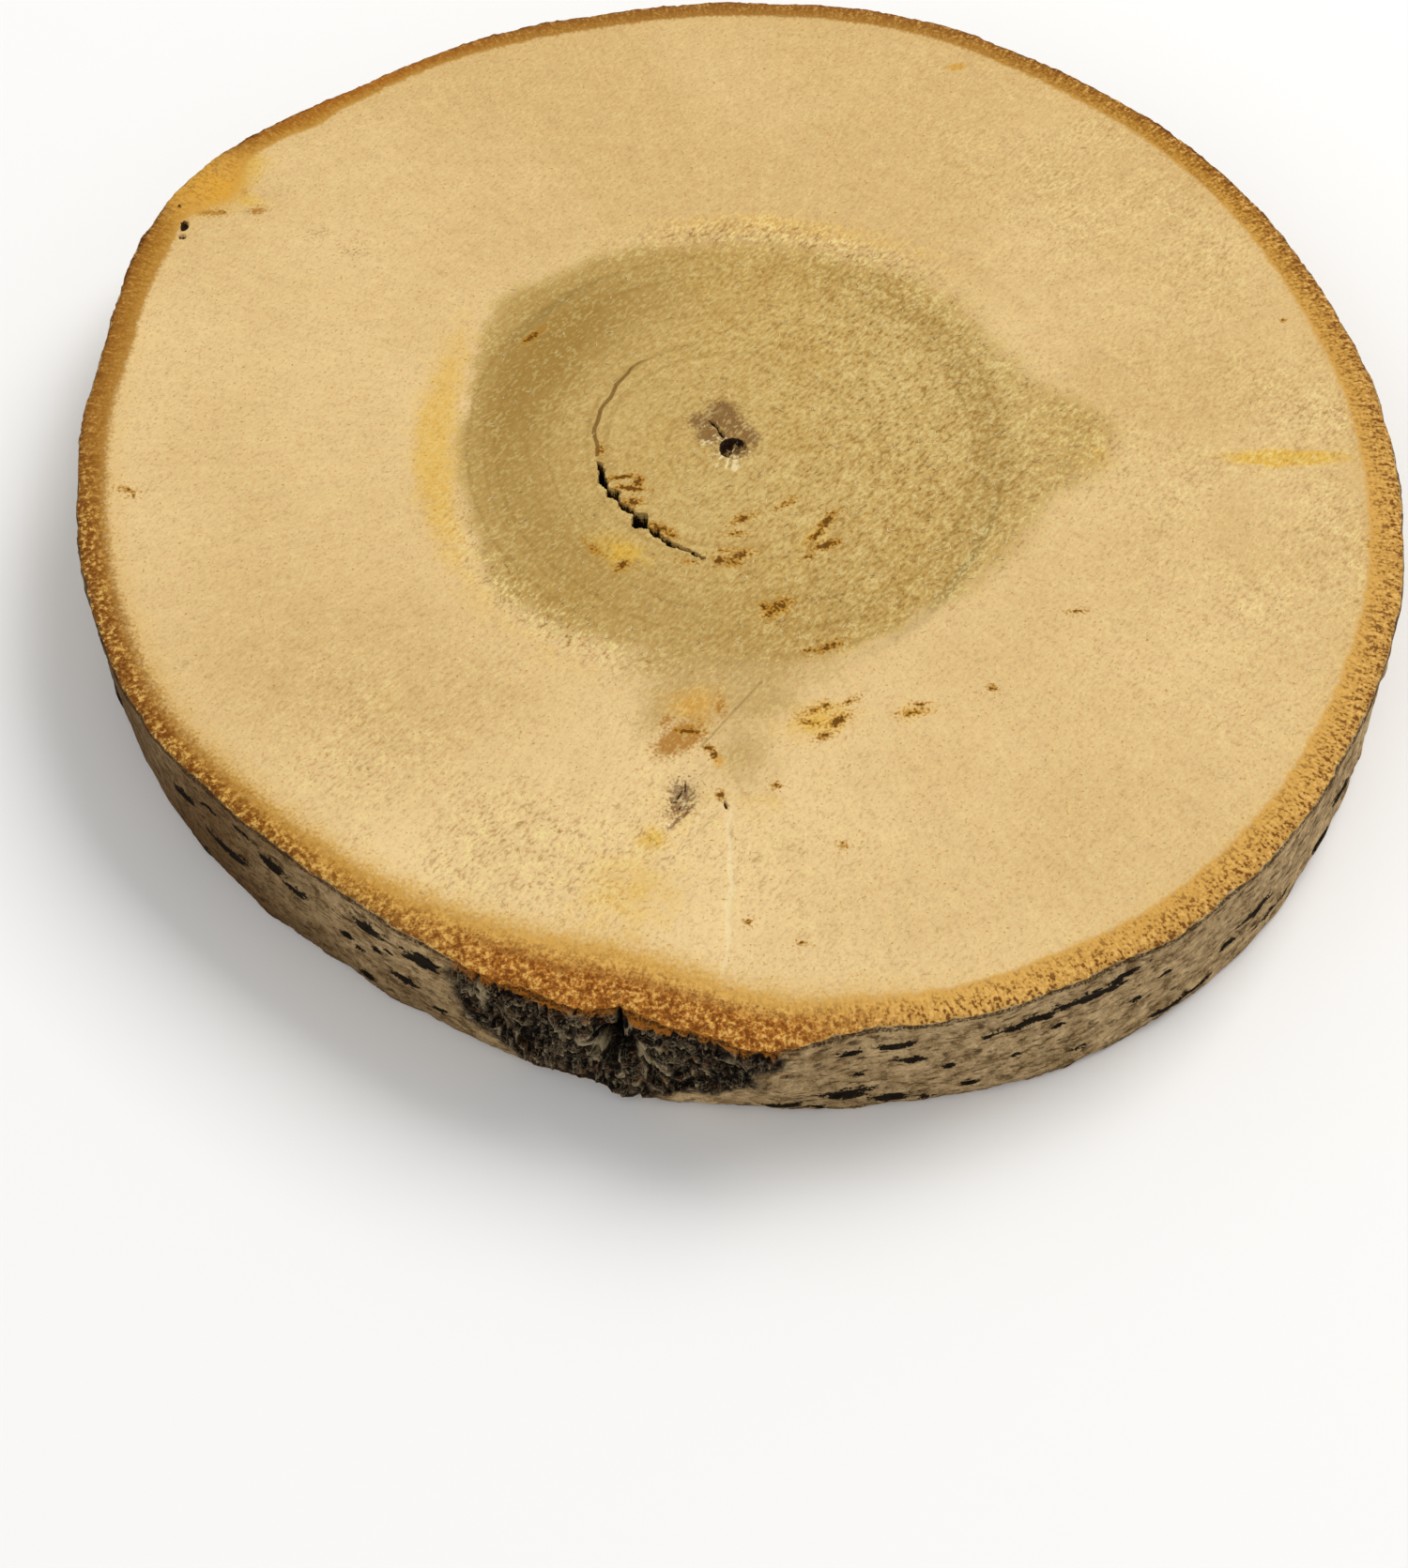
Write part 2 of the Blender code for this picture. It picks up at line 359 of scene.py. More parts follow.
@dataclass
class SliceForm:
    """The solid's own outline, read once from the frame, for every piece to follow."""

    angle_steps: int = 720
    height_steps: int = 25
    edge_clearance: float = 0.06
    skin_softness: float = 0.55
    outline_softness: float = 2.5
    pith: tuple[float, float] = (-0.5, -1.0)
    pith_depth: float = 2.6
    bark_width: float = 2.55
    bark_lobes: tuple[Lobe, ...] = (
        Lobe(-100, 26, 2.6), Lobe(5, 75, 0.45), Lobe(95, 50, -0.3), Lobe(124, 18, -0.55),
        Lobe(135.5, 4, 0.5), Lobe(147.8, 5.6, 2.3), Lobe(157.5, 7, 0.5), Lobe(168, 12, 0.15),
        Lobe(-48, 40, 0.45), Lobe(-142, 30, -0.35),
    )
    thickness: float = field(init=False)
    axis: Vector = field(init=False)
    skin_table: Array = field(init=False)
    outline_table: Array = field(init=False)

    def __post_init__(self) -> None:
        """Measure the node's thickness, its axis and its skin."""
        low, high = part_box(NODE)
        self.thickness = (high.z - low.z) / MM
        self.axis = self.find_axis()
        self.skin_table = self.read_skin()
        rows = self.skin_table
        ends = np.stack([rows[:, :4].mean(axis=1), rows[:, -4:].mean(axis=1)], axis=1)
        self.outline_table = self.soften_round(ends, self.outline_softness)

    def find_axis(self) -> Vector:
        """Find the branch's axis from the floor of the pith's open channel.

        Returns:
            The axis on the base plane, in metres.
        """
        places = places_of(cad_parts[NODE])
        floor_height = (self.thickness - self.pith_depth) * MM
        near = np.hypot(places[:, 0], places[:, 1]) < 3.0 * MM
        floor = places[near & (np.abs(places[:, 2] - floor_height) < 0.01 * MM)]
        middle = floor.mean(axis=0)
        return Vector((middle[0] - self.pith[0] * MM, middle[1] - self.pith[1] * MM, 0.0))

    def read_skin(self) -> Array:
        """Measure the distance from the axis to the skin.

        Returns:
            The distances, in rows by angle and columns by height.
        """
        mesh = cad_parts[NODE].data
        mesh.calc_loop_triangles()
        corners = [vert.co for vert in mesh.vertices]
        tree = BVHTree.FromPolygons(corners, [tri.vertices for tri in mesh.loop_triangles])
        angles = np.radians(np.arange(self.angle_steps) * 360.0 / self.angle_steps)
        heights = np.linspace(self.edge_clearance, self.thickness - self.edge_clearance, self.height_steps)
        far = 2.0 * MEAN_RADIUS
        table = np.zeros((self.angle_steps, self.height_steps))
        for row, angle in enumerate(angles):
            outward = Vector((math.cos(angle), math.sin(angle), 0.0))
            for column, height in enumerate(heights):
                start = self.axis + (outward * far + Vector((0.0, 0.0, height))) * MM
                distance = tree.ray_cast(start, -outward)[3]
                table[row, column] = far - distance / MM
        return self.soften_round(table, self.skin_softness)

    def soften_round(self, table: Array, softness: float) -> Array:
        """Smooth each column round the slice.

        Args:
            table: a row for each angle.
            softness: how far along the outline the smoothing reaches, in millimetres.

        Returns:
            The smoothed table.
        """
        waves = np.fft.rfft(table, axis=0)
        turns = np.arange(waves.shape[0])[:, None]
        fade = np.exp(-0.5 * (turns * softness / MEAN_RADIUS) ** 2)
        return np.fft.irfft(waves * fade, n=table.shape[0], axis=0)

    @staticmethod
    def read_table(table: Array, angles: Array, share: Array) -> Array:
        """Look up a table between its entries.

        Args:
            table: a row for each angle and a column for each height.
            angles: degrees round the slice.
            share: 0 at the base and 1 at the top.

        Returns:
            The value at each place.
        """
        rows, columns = table.shape
        row = (angles % 360.0) * rows / 360.0
        column = np.clip(share, 0.0, 1.0) * (columns - 1)
        low_row = np.floor(row).astype(int)
        low_column = np.minimum(np.floor(column).astype(int), columns - 2)
        down, along = row - low_row, column - low_column
        here, after = low_row % rows, (low_row + 1) % rows
        near = table[here, low_column] * (1 - down) + table[after, low_column] * down
        far = table[here, low_column + 1] * (1 - down) + table[after, low_column + 1] * down
        return near * (1 - along) + far * along

    def skin(self, angles: Array, heights: Array) -> Array:
        """Radius of the bark's skin at some angles and heights."""
        return self.read_table(self.skin_table, angles, heights / self.thickness)

    def width(self, angles: Array) -> Array:
        """Width of the cut bark at some angles."""
        return self.bark_width + lobe_sum(self.bark_lobes, angles)

    def cambium(self, angles: Array, heights: Array) -> Array:
        """Radius of the line between wood and bark at some angles and heights."""
        outline = self.read_table(self.outline_table, angles, heights / self.thickness)
        return outline - self.width(angles)

    def rim(self, angles: Array, radii: Array, heights: Array) -> Array:
        """Distance inwards from the smoothed outline."""
        return self.read_table(self.outline_table, angles, heights / self.thickness) - radii

    def ring(self, at: Places) -> Array:
        """Growth-ring place of a point: rings start round the pith and end along the outline.

        Args:
            at: points on the sawn face.

        Returns:
            The ring's mean radius.
        """
        away = np.clip(1.0 - at.radii / MEAN_RADIUS, 0.0, 1.0)
        own = Places(at.x - self.pith[0] * away, at.y - self.pith[1] * away)
        outline = self.read_table(self.outline_table, own.angles, np.full(len(at.x), 0.5))
        share = own.radii / outline
        return MEAN_RADIUS * share * (1.0 + (outline / MEAN_RADIUS - 1.0) * (1.0 - share))

    def to_metres(self, at: Places, heights: Array) -> Array:
        """Place points in the frame.

        Args:
            at: points in millimetres from the axis.
            heights: millimetres above the base.

        Returns:
            Rows of three numbers, in metres.
        """
        places = at.raised(heights) * MM
        places[:, 0] += self.axis.x
        places[:, 1] += self.axis.y
        return places


@dataclass
class RingShake:
    """The crack that opened along one growth ring as the wood dried."""

    start: float = -172.0
    end: float = -98.0
    line_start: float = 112.0
    line_turn: float = 78.0
    radius: float = 12.1
    end_radius: float = 13.2
    leaving: float = -131.0
    leaving_turn: float = 34.0
    wobbles: tuple[tuple[float, float], ...] = ((11.0, 0.12), (27.0, 0.08))
    hair_width: float = 0.17
    depth: float = 3.2
    openings: tuple[Lobe, ...] = (
        Lobe(-163, 5, 0.30), Lobe(-157.8, 4, 0.55), Lobe(-150.3, 3.6, 0.95), Lobe(-141, 4.5, 0.48),
        Lobe(-132.7, 4.6, 1.55), Lobe(-124, 3, 0.52), Lobe(-117, 8, 0.28), Lobe(-107, 5, 0.12),
    )
    ravel: float = 0.16
    line_width: float = 0.17

    def centre(self, angles: Array) -> Array:
        """Radius of the crack's middle line, which leaves its ring near the end.

        Args:
            angles: degrees round the slice.

        Returns:
            The radius at each.
        """
        past = smooth_step(0.0, self.leaving_turn, turn_between(angles, self.leaving))
        wobble = sum(height * np.sin(np.radians(angles * waves)) for waves, height in self.wobbles)
        return self.radius + (self.end_radius - self.radius) * past + wobble

    def present(self, angles: Array) -> Array:
        """1 along the open part of the crack, 0 past its ends."""
        begun = smooth_step(0.0, 5.0, turn_between(angles, self.start))
        return begun * (1.0 - smooth_step(-6.0, 0.0, turn_between(angles, self.end)))

    def distance(self, at: Places) -> Array:
        """How far each point lies outside the crack's edge.

        Args:
            at: points on the sawn face.

        Returns:
            Distances in millimetres, negative in the crack.
        """
        opening = self.hair_width + lobe_sum(self.openings, at.angles)
        present = self.present(at.angles)
        frayed = 0.5 * opening * present + self.ravel * lump_noise(at.raised(), 0.42) * present
        return np.abs(at.radii - self.centre(at.angles)) - frayed + 0.6 * (1.0 - present)

    def line(self, at: Places) -> Array:
        """The thin brown line that leads into the crack.

        Args:
            at: points on the sawn face.

        Returns:
            Its strength at each, from 0 to 1.
        """
        share = ((at.angles - self.line_start) % 360.0) / self.line_turn
        strength = smooth_step(0.0, 0.6, share) * (1.0 - smooth_step(0.98, 1.0, share))
        across = (at.radii - self.centre(at.angles)) / self.line_width
        return strength * np.exp(-across ** 2)

    def near_line(self, at: Places) -> Array:
        """True for each point within half a millimetre of that line."""
        beside = np.abs(at.radii - self.centre(at.angles)) < 0.5
        return beside & ((at.angles - self.line_start) % 360.0 < self.line_turn + 2.0)


@dataclass
class HeartStain:
    """The grey-brown stain round the pith, with a tear-shaped reach to the right."""

    radius: float = 24.4
    reaches: tuple[Lobe, ...] = (
        Lobe(-133, 38, 1.4), Lobe(0, 20, 4.6), Lobe(0, 62, 3.6), Lobe(126, 26, 1.4),
        Lobe(52, 30, 1.4), Lobe(146, 22, 1.5),
    )
    softness: float = 3.4
    soft_lobes: tuple[Lobe, ...] = (Lobe(15, 95, 1.7), Lobe(80, 60, 2.4), Lobe(-133, 40, 1.2))
    raggedness: tuple[tuple[float, float], ...] = ((6.0, 1.1), (1.7, 0.6))
    outer_radius: float = 22.3
    outer_strength: float = 0.76
    outer_side: Lobe = Lobe(10, 85, 1)
    line_radius: float = 22.3
    line_width: float = 0.42
    line_bend: Lobe = Lobe(-80, 62, 2.6)
    line_lobes: tuple[Lobe, ...] = (Lobe(-40, 44, 1), Lobe(138, 24, 1.1))
    tuft_radius: float = 24.6
    tuft_width: float = 1.7
    tuft_lobes: tuple[Lobe, ...] = (Lobe(85, 55, 0.8), Lobe(-132, 42, 1))
    shadow_lobes: tuple[Lobe, ...] = (Lobe(145, 60, 1.1), Lobe(-150, 80, 0.62), Lobe(-75, 50, 0.35))
    shadow_radius: float = 19.3
    shadow_width: float = 4.4
    arc_radius: float = 21.2
    arc_width: float = 1.9
    arc_lobes: tuple[Lobe, ...] = (Lobe(45, 50, 0.42), Lobe(-5, 55, 0.55))

    def reach(self, angles: Array) -> Array:
        """Radius of the stain's edge at some angles."""
        return self.radius + lobe_sum(self.reaches, angles)

    def cover(self, at: Places) -> Array:
        """How far the stain covers the wood, with an edge that is softer on the right.

        Args:
            at: points on the sawn face.

        Returns:
            1 in the stain and 0 outside it.
        """
        reach = self.reach(at.angles)
        reach += sum(height * lump_noise(at.raised(), size) for size, height in self.raggedness)
        soft = self.softness + lobe_sum(self.soft_lobes, at.angles)
        full = smooth_step(0.0, 1.0, (reach - at.radii) / soft + 0.3)
        past = smooth_step(0.0, 2.6, at.radii - self.outer_radius)
        return full * (1.0 - (1.0 - self.outer_strength) * past * self.outer_side.at(at.angles) ** 0.5)

    def shadow(self, at: Places) -> Array:
        """How dark the stain's outer band is, strongest to the upper left.

        Args:
            at: points on the sawn face.

        Returns:
            Its strength at each, from 0 to about 1.
        """
        band = np.exp(-((at.radii - self.shadow_radius) / self.shadow_width) ** 2)
        arc = np.exp(-((at.radii - self.arc_radius) / self.arc_width) ** 2)
        return (band * lobe_sum(self.shadow_lobes, at.angles) + arc * lobe_sum(self.arc_lobes, at.angles)
                + 0.12 * smooth_step(6.0, -9.0, at.x))

    def line(self, at: Places) -> Array:
        """The thin grey ring line that bounds the stain at the lower right."""
        across = at.radii - self.line_radius - self.line_bend.at(at.angles)
        return lobe_sum(self.line_lobes, at.angles) * np.exp(-(across / self.line_width) ** 2)

    def tufts(self, at: Places) -> Array:
        """Where torn fibres stand along the stain's edge, from 0 to 1."""
        strength = lobe_sum(self.tuft_lobes, at.angles)
        return strength * np.exp(-((at.radii - self.tuft_radius) / self.tuft_width) ** 2)


@dataclass
class SawnWood:
    """Everything drawn on a sawn face: rings, stain, crack, knots and small marks."""

    form: SliceForm
    camera: PhotoCamera
    shake: RingShake = field(default_factory=RingShake)
    stain: HeartStain = field(default_factory=HeartStain)
    mark_rows: tuple[tuple[Ink, tuple[tuple[float, ...], ...]], ...] = (
        # Pixel across and down, half length, half width, then the turn and strength where they
        # aren't 0 and 1
        # Round the ring shake
        (Ink.FLECK, ((672, 520, 0.9, 0.2, -8, 1.5), (662, 508, 0.8, 0.16, 12, 1.3),
            (679, 513, 0.5, 0.3, 60, 1.2), (675, 535, 0.6, 0.4), (703, 562, 0.9, 0.3, -25),
            (715, 570, 0.5, 0.25, -30), (662, 603, 0.55, 0.3, 50), (633, 585, 0.8, 0.3, -40, 0.7),
            (767, 597, 0.35, 0.4), (788, 591, 0.8, 0.4, 25), (780, 599, 0.6, 0.3, 10, 0.9),
            (770, 586, 0.7, 0.3, 5, 0.6), (735, 597, 0.8, 0.3, -10, 0.6))),
        (Ink.YELLOW, ((662, 588, 2.6, 1.5, -30, 0.7),)),
        # Flecks right of the crack, along the same rings
        (Ink.FLECK, ((791, 552, 0.75, 0.3, 25), (785, 568, 0.6, 0.22, 5, 0.8),
            (837, 536, 0.9, 0.28, 40, 0.7), (880, 555, 1.0, 0.32, 52), (870, 569, 0.7, 0.3, 50),
            (880, 580, 0.85, 0.28, 22, 1.25), (862, 593, 0.6, 0.25, 30, 0.75), (831, 645, 0.8, 0.5, 35),
            (820, 654, 0.5, 0.4, 60, 0.9), (815, 646, 0.4, 0.3), (882, 689, 1.0, 0.3, 25),
            (862, 692, 0.5, 0.2, 10, 0.8), (566, 359, 0.9, 0.25, 48, 1.1), (640, 480, 0.3, 0.5, 0, 0.7))),
        (Ink.YELLOW, ((866, 572, 1.6, 0.8, 45, 0.6), (826, 650, 1.5, 1.0, 30, 0.5))),
        # The patch of flecks below the stain
        (Ink.YELLOW, ((872, 768, 3.0, 1.7, 20, 0.7), (975, 757, 2.2, 0.8, 8, 0.6))),
        (Ink.FLECK, ((866, 757, 0.9, 0.3, 20, 0.64), (862, 770, 0.9, 0.3, -10, 0.64),
            (893, 768, 0.75, 0.34, 38, 1.12), (878, 784, 0.6, 0.24, 25, 0.98),
            (905, 747, 0.7, 0.2, 30, 0.78), (972, 759, 1.0, 0.3, 15, 0.7), (980, 750, 0.6, 0.16, 0, 0.75),
            (880, 752, 0.4, 0.3, 0, 0.8))),
        # Pith and its plum-brown petals
        (Ink.PLUM, ((748, 449, 0.9, 0.7, -20, 1.15), (769, 441, 0.9, 1.0, 10, 1.5),
            (782, 452, 0.8, 0.9, 0, 1.1), (798, 464, 0.6, 1.0, 20, 1.1), (755, 463, 0.9, 0.8, 0, 1.0),
            (782, 470, 1.7, 1.5, 0, 0.8))),
        # Painted shade, near black, in a small crack by the pith
        (Ink.DARK, ((761, 452, 0.6, 0.12, -50, 0.95), (768, 461, 0.5, 0.14, -65, 1.0))),
        # Knots in a line below the heart
        (Ink.ORANGE, ((740, 752, 2.7, 2.2, 0, 0.72), (765, 812, 0.5, 0.6, 0, 0.9))),
        (Ink.BROWN, ((725, 787, 1.9, 1.0, 38, 1.3), (709, 768, 0.7, 0.5, 45, 0.8),
            (768, 752, 0.5, 1.5, 5, 0.7))),
        (Ink.TAN, ((735, 702, 3.6, 2.0, 0, 1.5), (778, 712, 5.4, 2.0, 5, 1.4), (745, 740, 3.8, 2.8, 0, 1.2),
            (806, 745, 3.4, 1.9, 25, 1.1), (703, 755, 1.5, 2.8, -25, 0.9), (790, 800, 2.4, 4.0, 10, 0.85))),
        (Ink.FLECK, ((733, 779, 0.8, 0.16, -4, 1.3), (755, 797, 0.3, 0.3, 0, 1.0), (761, 804, 0.3, 0.3),
            (768, 847, 0.25, 0.3, 0, 1.2))),
        # Painted shade, near black, in small cracks of the knot
        (Ink.DARK, ((773, 857, 0.12, 0.42, 15, 0.8), (724, 842, 0.6, 0.09, 62, 0.62),
            (730, 836, 0.5, 0.09, 85, 0.62), (718, 851, 0.4, 0.10, 30, 0.62),
            (724, 858, 0.4, 0.09, 70, 0.52))),
        (Ink.GREY, ((726, 847, 0.85, 1.35, -8, 1.2),)),
        (Ink.PLUM, ((726, 869, 1.3, 0.13, 50, 1.3), (716, 862, 1.1, 0.9, 30, 0.45))),
        (Ink.PALE, ((729, 850, 0.45, 0.5, 0, 0.7), (745, 868, 1.6, 0.35, 50, 0.6),
            (738, 884, 1.4, 0.3, 20, 0.55), (712, 878, 0.9, 0.5, 0, 0.6), (778, 905, 0.3, 2.6, 0, 0.5))),
        (Ink.YELLOW, ((694, 893, 1.3, 1.2, 0, 0.8), (668, 952, 5.0, 4.6, 0, 0.52),
            (727, 868, 3.0, 4.0, 0, 0.36), (810, 855, 2.6, 1.6, 0, 0.4))),
        # Sapwood at the right, top and left
        (Ink.YELLOW, ((1368, 487, 3.7, 0.62, 1, 1.5), (1352, 492, 1.6, 0.5, -10, 1.0),
            (1172, 486, 1.2, 1.6, 0, 0.5))),
        (Ink.ORANGE, ((1019, 71, 0.9, 0.42, 15, 1.3),)),
        (Ink.FLECK, ((135, 522, 0.8, 0.3, -20, 0.7), (142, 527, 0.4, 0.3, 30, 0.6),
            (1459, 580, 0.25, 0.35, 0, 0.9), (1147, 651, 0.5, 0.2, 5, 0.8), (1367, 341, 0.25, 0.2, 0, 0.9),
            (1057, 733, 0.3, 0.25, 0, 0.9), (827, 837, 0.4, 0.2, 0, 0.8), (898, 900, 0.4, 0.22, -10, 0.7),
            (853, 1005, 0.35, 0.2, 0, 0.8), (797, 982, 0.25, 0.25, 0, 0.8))),
        (Ink.PLUM, ((341, 249, 1.3, 0.9, 0, 0.3), (378, 267, 1.6, 0.9, 0, 0.32))),
        # The orange patch where a side branch left, with holes along its edge
        (Ink.ORANGE, ((216, 196, 2.9, 2.0, 35, 1.2),)),
        (Ink.YELLOW, ((244, 188, 2.6, 1.8, 30, 0.95), (268, 172, 2.2, 1.5, 10, 0.62),
            (262, 214, 2.4, 1.4, 0, 0.55))),
        (Ink.BROWN, ((275, 224, 0.8, 0.6, 10, 0.85), (225, 226, 1.8, 0.5, 0, 0.7),
            (259, 204, 0.5, 0.6, 30, 0.8))),
        # Painted shade, near black, in the holes
        (Ink.DARK, ((196, 240, 0.3, 0.5, 0, 1.1), (194, 252, 0.3, 0.25, 0, 1.0),
            (191, 219, 0.25, 0.3, 0, 0.8))),
        (Ink.FLECK, ((219, 226, 0.9, 0.3, 0, 0.9), (236, 226, 0.4, 0.3, 0, 0.8))),
    )
    halo_gap: float = 1.3
    halo_width: float = 1.9
    halo_lobes: tuple[Lobe, ...] = (Lobe(-178, 50, 1.05), Lobe(-128, 36, 0.3), Lobe(80, 60, 0.5))
    rough_lobes: tuple[Lobe, ...] = (Lobe(-8, 50, 0.55), Lobe(-112, 45, 0.65), Lobe(45, 35, 0.4))
    scratch_pixels: tuple[tuple[tuple[float, float], tuple[float, float], float], ...] = (
        # First end, last end and depth
        ((747, 795), (811, 726), 0.85), ((739, 812), (770, 777), 0.35), ((713, 918), (768, 862), 0.4),
        ((722, 900), (762, 866), 0.3), ((650, 880), (745, 800), 0.25), ((640, 915), (690, 872), 0.25),
    )
    check_pixels: tuple[tuple[float, float], ...] = ((777, 862), (779, 942), (773, 1012), (766, 1068))
    tones: tuple[tuple[tuple[float, float], float, float], ...] = (
        # Pixel at the middle of a darker patch of pale wood, its radius and how dark
        ((260, 740), 15.0, 0.80), ((800, 80), 24.0, 0.42), ((580, 790), 12.0, 0.35), ((1240, 890), 13.0, 0.25),
        ((560, 930), 10.0, 0.18), ((360, 240), 15.0, 0.22), ((1000, 760), 14.0, 0.12),
        ((1350, 600), 12.0, 0.12), ((300, 600), 16.0, 0.30), ((1150, 960), 12.0, 0.30),
    )
    arcs: tuple[tuple[float, float, float], ...] = (
        # Radius, half width and depth of the faint dark rings beyond the heart
        (29.0, 0.9, 0.30), (32.5, 0.7, 0.18), (41.0, 0.9, 0.14),
    )
    arc_side: Lobe = Lobe(75, 80, 1)
    pith_radius: float = 1.1
    mark_fade: float = 1.5
    scratch_width: float = 0.12
    check_width: float = 0.22
    marks: list[Mark] = field(init=False)

    def __post_init__(self) -> None:
        """Turn the rows of marks into marks."""
        self.marks = [Mark(ink, row[:2], *row[2:]) for ink, rows in self.mark_rows for row in rows]

    def from_pith(self, at: Places) -> Places:
        """The same points, measured from the pith."""
        return Places(at.x - self.form.pith[0], at.y - self.form.pith[1])

    def mark_field(self, ink: Ink, at: Places) -> Array:
        """Strength of one colour of mark, which is 0.5 along a full mark's edge.

        Args:
            ink: the colour.
            at: points on the sawn face.

        Returns:
            The strongest mark of that colour at each point.
        """
        strongest = np.zeros(len(at.x))
        for mark in self.marks:
            if mark.ink is ink:
                fade = np.exp(-math.log(2.0) * np.hypot(*self.mark_place(mark, at)) ** self.mark_fade)
                strongest = np.maximum(strongest, mark.strength * fade)
        return strongest

    def mark_place(self, mark: Mark, at: Places) -> tuple[Array, Array]:
        """Turn points into a mark's own directions.

        Args:
            mark: the mark.
            at: points on the sawn face.

        Returns:
            Shares of its half length and of its half width.
        """
        middle = self.camera.on_top(mark.pixel, self.form.thickness)
        turn = math.radians(mark.turn)
        right, ahead = at.x - middle[0], at.y - middle[1]
        along = right * math.cos(turn) + ahead * math.sin(turn)
        across = ahead * math.cos(turn) - right * math.sin(turn)
        return along / mark.half_length, across / mark.half_width

    def line_distance(self, ends: tuple, at: Places) -> Array:
        """Measure points from a straight line between two pixels of the photograph.

        Args:
            ends: the two pixels.
            at: points on the sawn face.

        Returns:
            Distances in millimetres.
        """
        first, last = (np.array(self.camera.on_top(end, self.form.thickness)) for end in ends)
        run = last - first
        points = np.stack([at.x, at.y], axis=1) - first
        share = np.clip(points @ run / (run @ run), 0.0, 1.0)
        return np.linalg.norm(points - share[:, None] * run, axis=1)

    def scratches(self, at: Places) -> Array:
        """How deep the saw's slanted scratches are, from 0 to 1."""
        return np.max([depth * np.exp(-(self.line_distance(ends, at) / self.scratch_width) ** 2)
                       for *ends, depth in self.scratch_pixels], axis=0)

    def check(self, at: Places) -> Array:
        """The faint drying check that runs from the knots to the bark.

        Args:
            at: points on the sawn face.

        Returns:
            Its strength at each, from 0 to 1.
        """
        bent = Places(at.x + 0.3 * lump_noise(at.raised(), 2.5, 2), at.y)
        pairs = zip(self.check_pixels[:-1], self.check_pixels[1:])
        nearest = np.min([self.line_distance(pair, bent) for pair in pairs], axis=0)
        return np.exp(-(nearest / self.check_width) ** 2)

    def pith_depth(self, at: Places) -> Array:
        """How deep the pith's open channel is.

        Args:
            at: points on the sawn face.

        Returns:
            Depths below the sawn face, in millimetres.
        """
        own = self.from_pith(at)
        edge = self.pith_radius * (1.0 + 0.16 * lump_noise(at.raised(), 0.8))
        floor = 0.85 + 0.35 * lump_noise(at.raised(), 0.45) - 0.45 * smooth_step(-0.6, 0.7, own.x - own.y)
        return floor * (1.0 - smooth_step(-0.22, 0.08, own.radii - edge))

    def halo(self, at: Places) -> Array:
        """Yellow seep just outside the stain."""
        past = at.radii - self.stain.reach(at.angles) - self.halo_gap
        return lobe_sum(self.halo_lobes, at.angles) * np.exp(-(past / self.halo_width) ** 2)

    def roughness(self, at: Places) -> Array:
        """Where the saw left the wood furry.

        Args:
            at: points on the sawn face.

        Returns:
            0 where it is smooth, to about 1.
        """
        outward = smooth_step(24.0, 44.0, at.radii)
        cloud = 0.5 + 0.9 * lump_noise(at.raised(), 9.0, 2)
        heart = self.stain.cover(at) * (0.42 + 0.58 * smooth_step(-12.0, 18.0, at.x))
        patches = outward * lobe_sum(self.rough_lobes, at.angles) * cloud
        return np.clip(patches + heart + self.stain.tufts(at) + 0.22, 0.0, 1.2)

    def tone(self, at: Places) -> Array:
        """How dark the pale wood is: darker to the upper right and in some soft patches.

        Args:
            at: points on the sawn face.

        Returns:
            0 for the palest wood, to 1.
        """
        total = 0.45 + 0.009 * (0.6 * at.x + at.y)
        for pixel, radius, depth in self.tones:
            middle = self.camera.on_top(pixel, self.form.thickness)
            total += depth * np.exp(-(np.hypot(at.x - middle[0], at.y - middle[1]) / radius) ** 2)
        for radius, half_width, depth in self.arcs:
            total += depth * self.arc_side.at(at.angles) * np.exp(-((at.radii - radius) / half_width) ** 2)
        return np.clip(total, 0.0, 1.0)

    def star(self, at: Places) -> Array:
        """Pale fibres that spread from the pith like a star.

        Args:
            at: points on the sawn face.

        Returns:
            Their strength at each, from 0 to 1.
        """
        own = self.from_pith(at)
        radii = np.maximum(own.radii, 0.01)
        spokes = np.stack([own.x / radii * 2.6, own.y / radii * 2.6, 0.35 * radii], axis=1)
        reach = 2.4 - 0.9 * (own.x + own.y) / radii
        return smooth_step(-0.15, 0.35, lump_noise(spokes, 0.55)) * np.exp(-(radii / reach) ** 2)

    def dent(self, side: Side, at: Places) -> Array:
        """How far each point of a sawn face lies below it.

        Args:
            side: which sawn face.
            at: points on it.

        Returns:
            Depths in millimetres.
        """
        depth = self.shake.depth * (1.0 - smooth_step(-0.12, 0.06, self.shake.distance(at)))
        depth = np.maximum(depth, self.pith_depth(at))
        points = at.raised(50.0 * side.value)
        depth += 0.02 + self.roughness(at) * 0.05 * (1.0 + lump_noise(points, 0.8, 2))
        if side is Side.TOP:
            depth += 0.08 * self.scratches(at) + 0.05 * self.check(at)
            depth += 0.55 * self.mark_field(Ink.GREY, at) * (1.0 + 0.6 * lump_noise(points, 0.5))
            depth += 0.5 * smooth_step(0.3, 0.6, self.mark_field(Ink.DARK, at))
        return depth

    def fine_detail(self, at: Places) -> Array:
        """Which faces of the top need a finer mesh.

        Args:
            at: the faces' middles.

        Returns:
            True for each face near the crack, the pith, a knot, a scratch or a small mark.
        """
        near = (self.shake.distance(at) < 0.7) | (self.from_pith(at).radii < 2.6)
        near |= (self.scratches(at) > 0.02) | (self.check(at) > 0.02) | self.shake.near_line(at)
        for mark in self.marks:
            if mark.half_width < 0.7 and mark.ink in (Ink.DARK, Ink.FLECK, Ink.GREY, Ink.PLUM):
                near |= np.hypot(*self.mark_place(mark, at)) < 1.9
        return near

